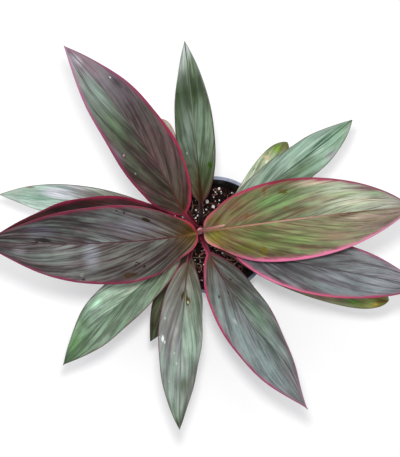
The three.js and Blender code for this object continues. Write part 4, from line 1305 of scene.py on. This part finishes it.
rightShort = {
    "piece": "rightShortLeaf", "replaces": "leaf_right_short", "slot": "leaf_green", "seed": 7,
    "height": 156, "headings": (-48, -15, -17), "slopes": (59, 30, -6, -18), "stalk": 65, "blade": 206,
    "width": 45, "outline": (0.96, 0.62, 0.8), "roll": -3, "wave": (1.4, 3.2, 0.9), "tone": 1.02,
    "streaks": 0.4, "cast": ("54743c", 0.42), "flush": ("746a50", 0.35), "vein": ("4c4c2c", 0.4),
    "under": "68725a", "ribWidth": (2.6, 1.2), "rimWidth": (0.8, 0.9),
    "left": {0.1: "5a6a50", 0.5: "66785a", 0.97: "6c7440"},
    "right": {0.1: "b0606e", 0.4: "906c6a", 0.6: "8c6e68", 0.75: "6c6c54", 0.9: "787a44", 0.99: "665628"},
    "rib": {0: "6a4038", 0.5: "5f6c50", 0.9: "6c7440"},
    "leftRim": {0: "6a4c44", 0.6: "6a6e50", 1: "5a4a28"},
    "rightRim": {0: "5e4c44", 0.6: "56603e", 1: "4e4020"},
    "patches": [(0.77, -0.65, 26, 7, "4c7c2c", 0.7), (0.95, -0.25, 14, 16, "5c4c1c", 0.7)],
    "spots": [(0.917, -0.62, 9, 4.4, "b08c3a", 0.8), (0.816, -0.72, 4, 3, "7a6a20", 0.8)],
}
makeLeaf(rightShort)

behindUpperLeft = {
    "piece": "behindUpperLeftLeaf", "replaces": "leaf_behind_upper_left", "slot": "leaf_green", "seed": 15,
    "height": 149, "headings": (126, 110.5, 102.5), "slopes": (56, 30, -4, -27), "stalk": 41.5,
    "blade": 121, "width": 34.5, "outline": (0.93, 0.61, 1.24), "roll": -10, "fold": 0.29, "arch": 0.23,
    "wave": (1, 2.4, 0.4), "lean": 1.4, "tone": 0.9, "streaks": 0.36, "cast": ("7c8c74", 0.35),
    "flush": ("8c8474", 0.3), "vein": ("5c6450", 0.4), "under": "6c7464", "ribWidth": (2.4, 1.1),
    "rimWidth": (0.9, 1.6),
    "left": {0.1: "5e6a58", 0.6: "74826e", 0.97: "7e8a72"},
    "right": {0.1: "5e6a58", 0.6: "8a9080", 0.88: "a09a88", 0.99: "a28e7c"},
    "rib": {0: "6a4038", 0.5: "6a7460", 0.95: "7a8068"},
    "leftRim": {0: "6a4c44", 0.6: "6e7060", 1: "9a7c62"},
    "rightRim": {0: "6a4c44", 0.5: "9a6c6c", 1: "b88c88"},
    "patches": [(0.97, 0, 10, 20, "9a8468", 0.5)],
}
makeLeaf(behindUpperLeft)

lowerLeftCut = {
    "piece": "lowerLeftCutLeaf", "replaces": "leaf_lower_left_cut", "slot": "leaf_dark", "seed": 11,
    "height": 142, "headings": (-117, -110, -104), "slopes": (56, 31, -1, -16), "stalk": 38, "blade": 160,
    "width": 48, "outline": (0.73, 1.32, 0.5), "roll": 2, "wave": (1.2, 2.5, 0.1), "lean": 1.4,
    "cut": {"at": 0.66, "skew": 52}, "tone": 1.1, "streaks": 0.4, "cast": ("4f5c46", 0.5),
    "flush": ("4c4a3a", 0.3), "vein": ("2e3024", 0.4), "under": "545848", "stem": "64282e",
    "ribWidth": (2.6, 1.2), "rimWidth": (0.9, 1),
    "left": {0.1: "40443a", 0.6: "4a5044", 0.97: "4a4c40"},
    "right": {0.1: "3e3e34", 0.4: "393a2e", 0.7: "3c3e31", 0.97: "36372a"},
    "rib": {0: "5a3030", 0.5: "454a3c", 0.9: "40443a"},
    "leftRim": {0: "50342e", 0.6: "3a3428", 1: "3a3428"},
    "rightRim": {0: "50342e", 0.5: "4a3c34", 1: "3a3024"},
    "patches": [(0.5, -0.6, 30, 8, "585444", 0.5)],
    "spots": [(0.62, -0.8, 8, 4, "2c2820", 0.7)],
}
makeLeaf(lowerLeftCut)


# The young leaf, still rolled round itself, rises from the tip of the cane

furledLeaf = {
    "base": 245.5,
    "length": 138,
    "heading": 15,
    "slopes": (90, 70),
    "radius": 2.3,
    "tipRadius": 0.7,
    "lap": 0.28,               # how much the radius grows over the outermost turn
    "innerTurns": 0.75,        # how far the rolled sheet goes on inside
    "sheet": 0.36,
    "rows": 130,
    "around": 46,
    "tone": 0.8,
    # the palest pink at the base is a painted highlight
    "colours": {0: "e8c4c6", 0.1: "cc9698", 0.4: "b47a74", 0.8: "bc7e74", 0.97: "cf948a"},
    "edge": "e6aca6",
    "inside": "7d5a52",
    "roughness": 0.42,
    "specular": 0.4,
    "bump": (0.4, 0.25),
}


def furledFinish(young):
    tone = young["tone"]
    bench = FinishBench("furledLeafFinish")
    reach, turn = bench.attribute("reach"), bench.attribute("turn")
    fine = bench.clouds(bench.place(bench.times(turn, 46.0), bench.times(reach, 5.0)), 1.0, 3.0, 0.6)
    colour = bench.ramp(reach, [(u, pigment(c, tone)) for u, c in young["colours"].items()])
    colour = bench.shade(colour, bench.vary(fine, 0.78, 1.22))
    colour = bench.blend(bench.attribute("inner"), colour, pigment(young["inside"], tone))
    edgeMask = bench.remap(bench.maths("ABSOLUTE", turn), 0.07, 0.02)
    colour = bench.blend(edgeMask, colour, pigment(young["edge"], tone))
    return bench.complete(colour, young["roughness"], young, fine)


def makeFurledLeaf(young):
    rows = np.linspace(0, 1, young["rows"])
    middles = (rows[1:] + rows[:-1]) / 2
    baseSlope, tipSlope = young["slopes"]
    slopes = baseSlope + (tipSlope - baseSlope) * middles
    strides = directions(slopes, young["heading"]) * young["length"] / (young["rows"] - 1)
    start = caneCentre(cane["top"])
    start[2] = young["base"]
    centres = np.vstack([start, start + np.cumsum(strides, axis=0)])
    side = directions(0, young["heading"] + 90)
    outerTurns = np.linspace(1, -young["innerTurns"], young["around"])      # 1 is the free edge outside
    points, reach, turns, inner = [], [], [], []
    for u, centre in zip(rows, centres):
        swelling = (1 - u) ** 0.7 * (0.82 + 0.9 * u)
        radius = young["tipRadius"] + (young["radius"] - young["tipRadius"]) * swelling
        up = directions(baseSlope + (tipSlope - baseSlope) * u - 90, young["heading"])
        sheet = min(young["sheet"], 0.22 * radius)
        for face, faceTurns in enumerate((outerTurns, outerTurns[::-1])):
            for t in faceTurns:
                spread = radius * (1 - young["lap"] / 2 + young["lap"] * t) - face * sheet
                angle = 2 * math.pi * t + 0.8 * u
                points.append(centre + up * spread * math.cos(angle) + side * spread * math.sin(angle))
                reach.append(u)
                turns.append(1 - t)
                inner.append(float(face))
    faces = tubeFaces(young["rows"], 2 * young["around"])
    attributes = {"reach": reach, "turn": turns, "inner": inner}
    furled = makePiece("furledYoungLeaf", points, faces, furledFinish(young), attributes)
    mountPiece(furled, "leaf_pink", "leaf_furled")


print("rolling the young leaf")
makeFurledLeaf(furledLeaf)
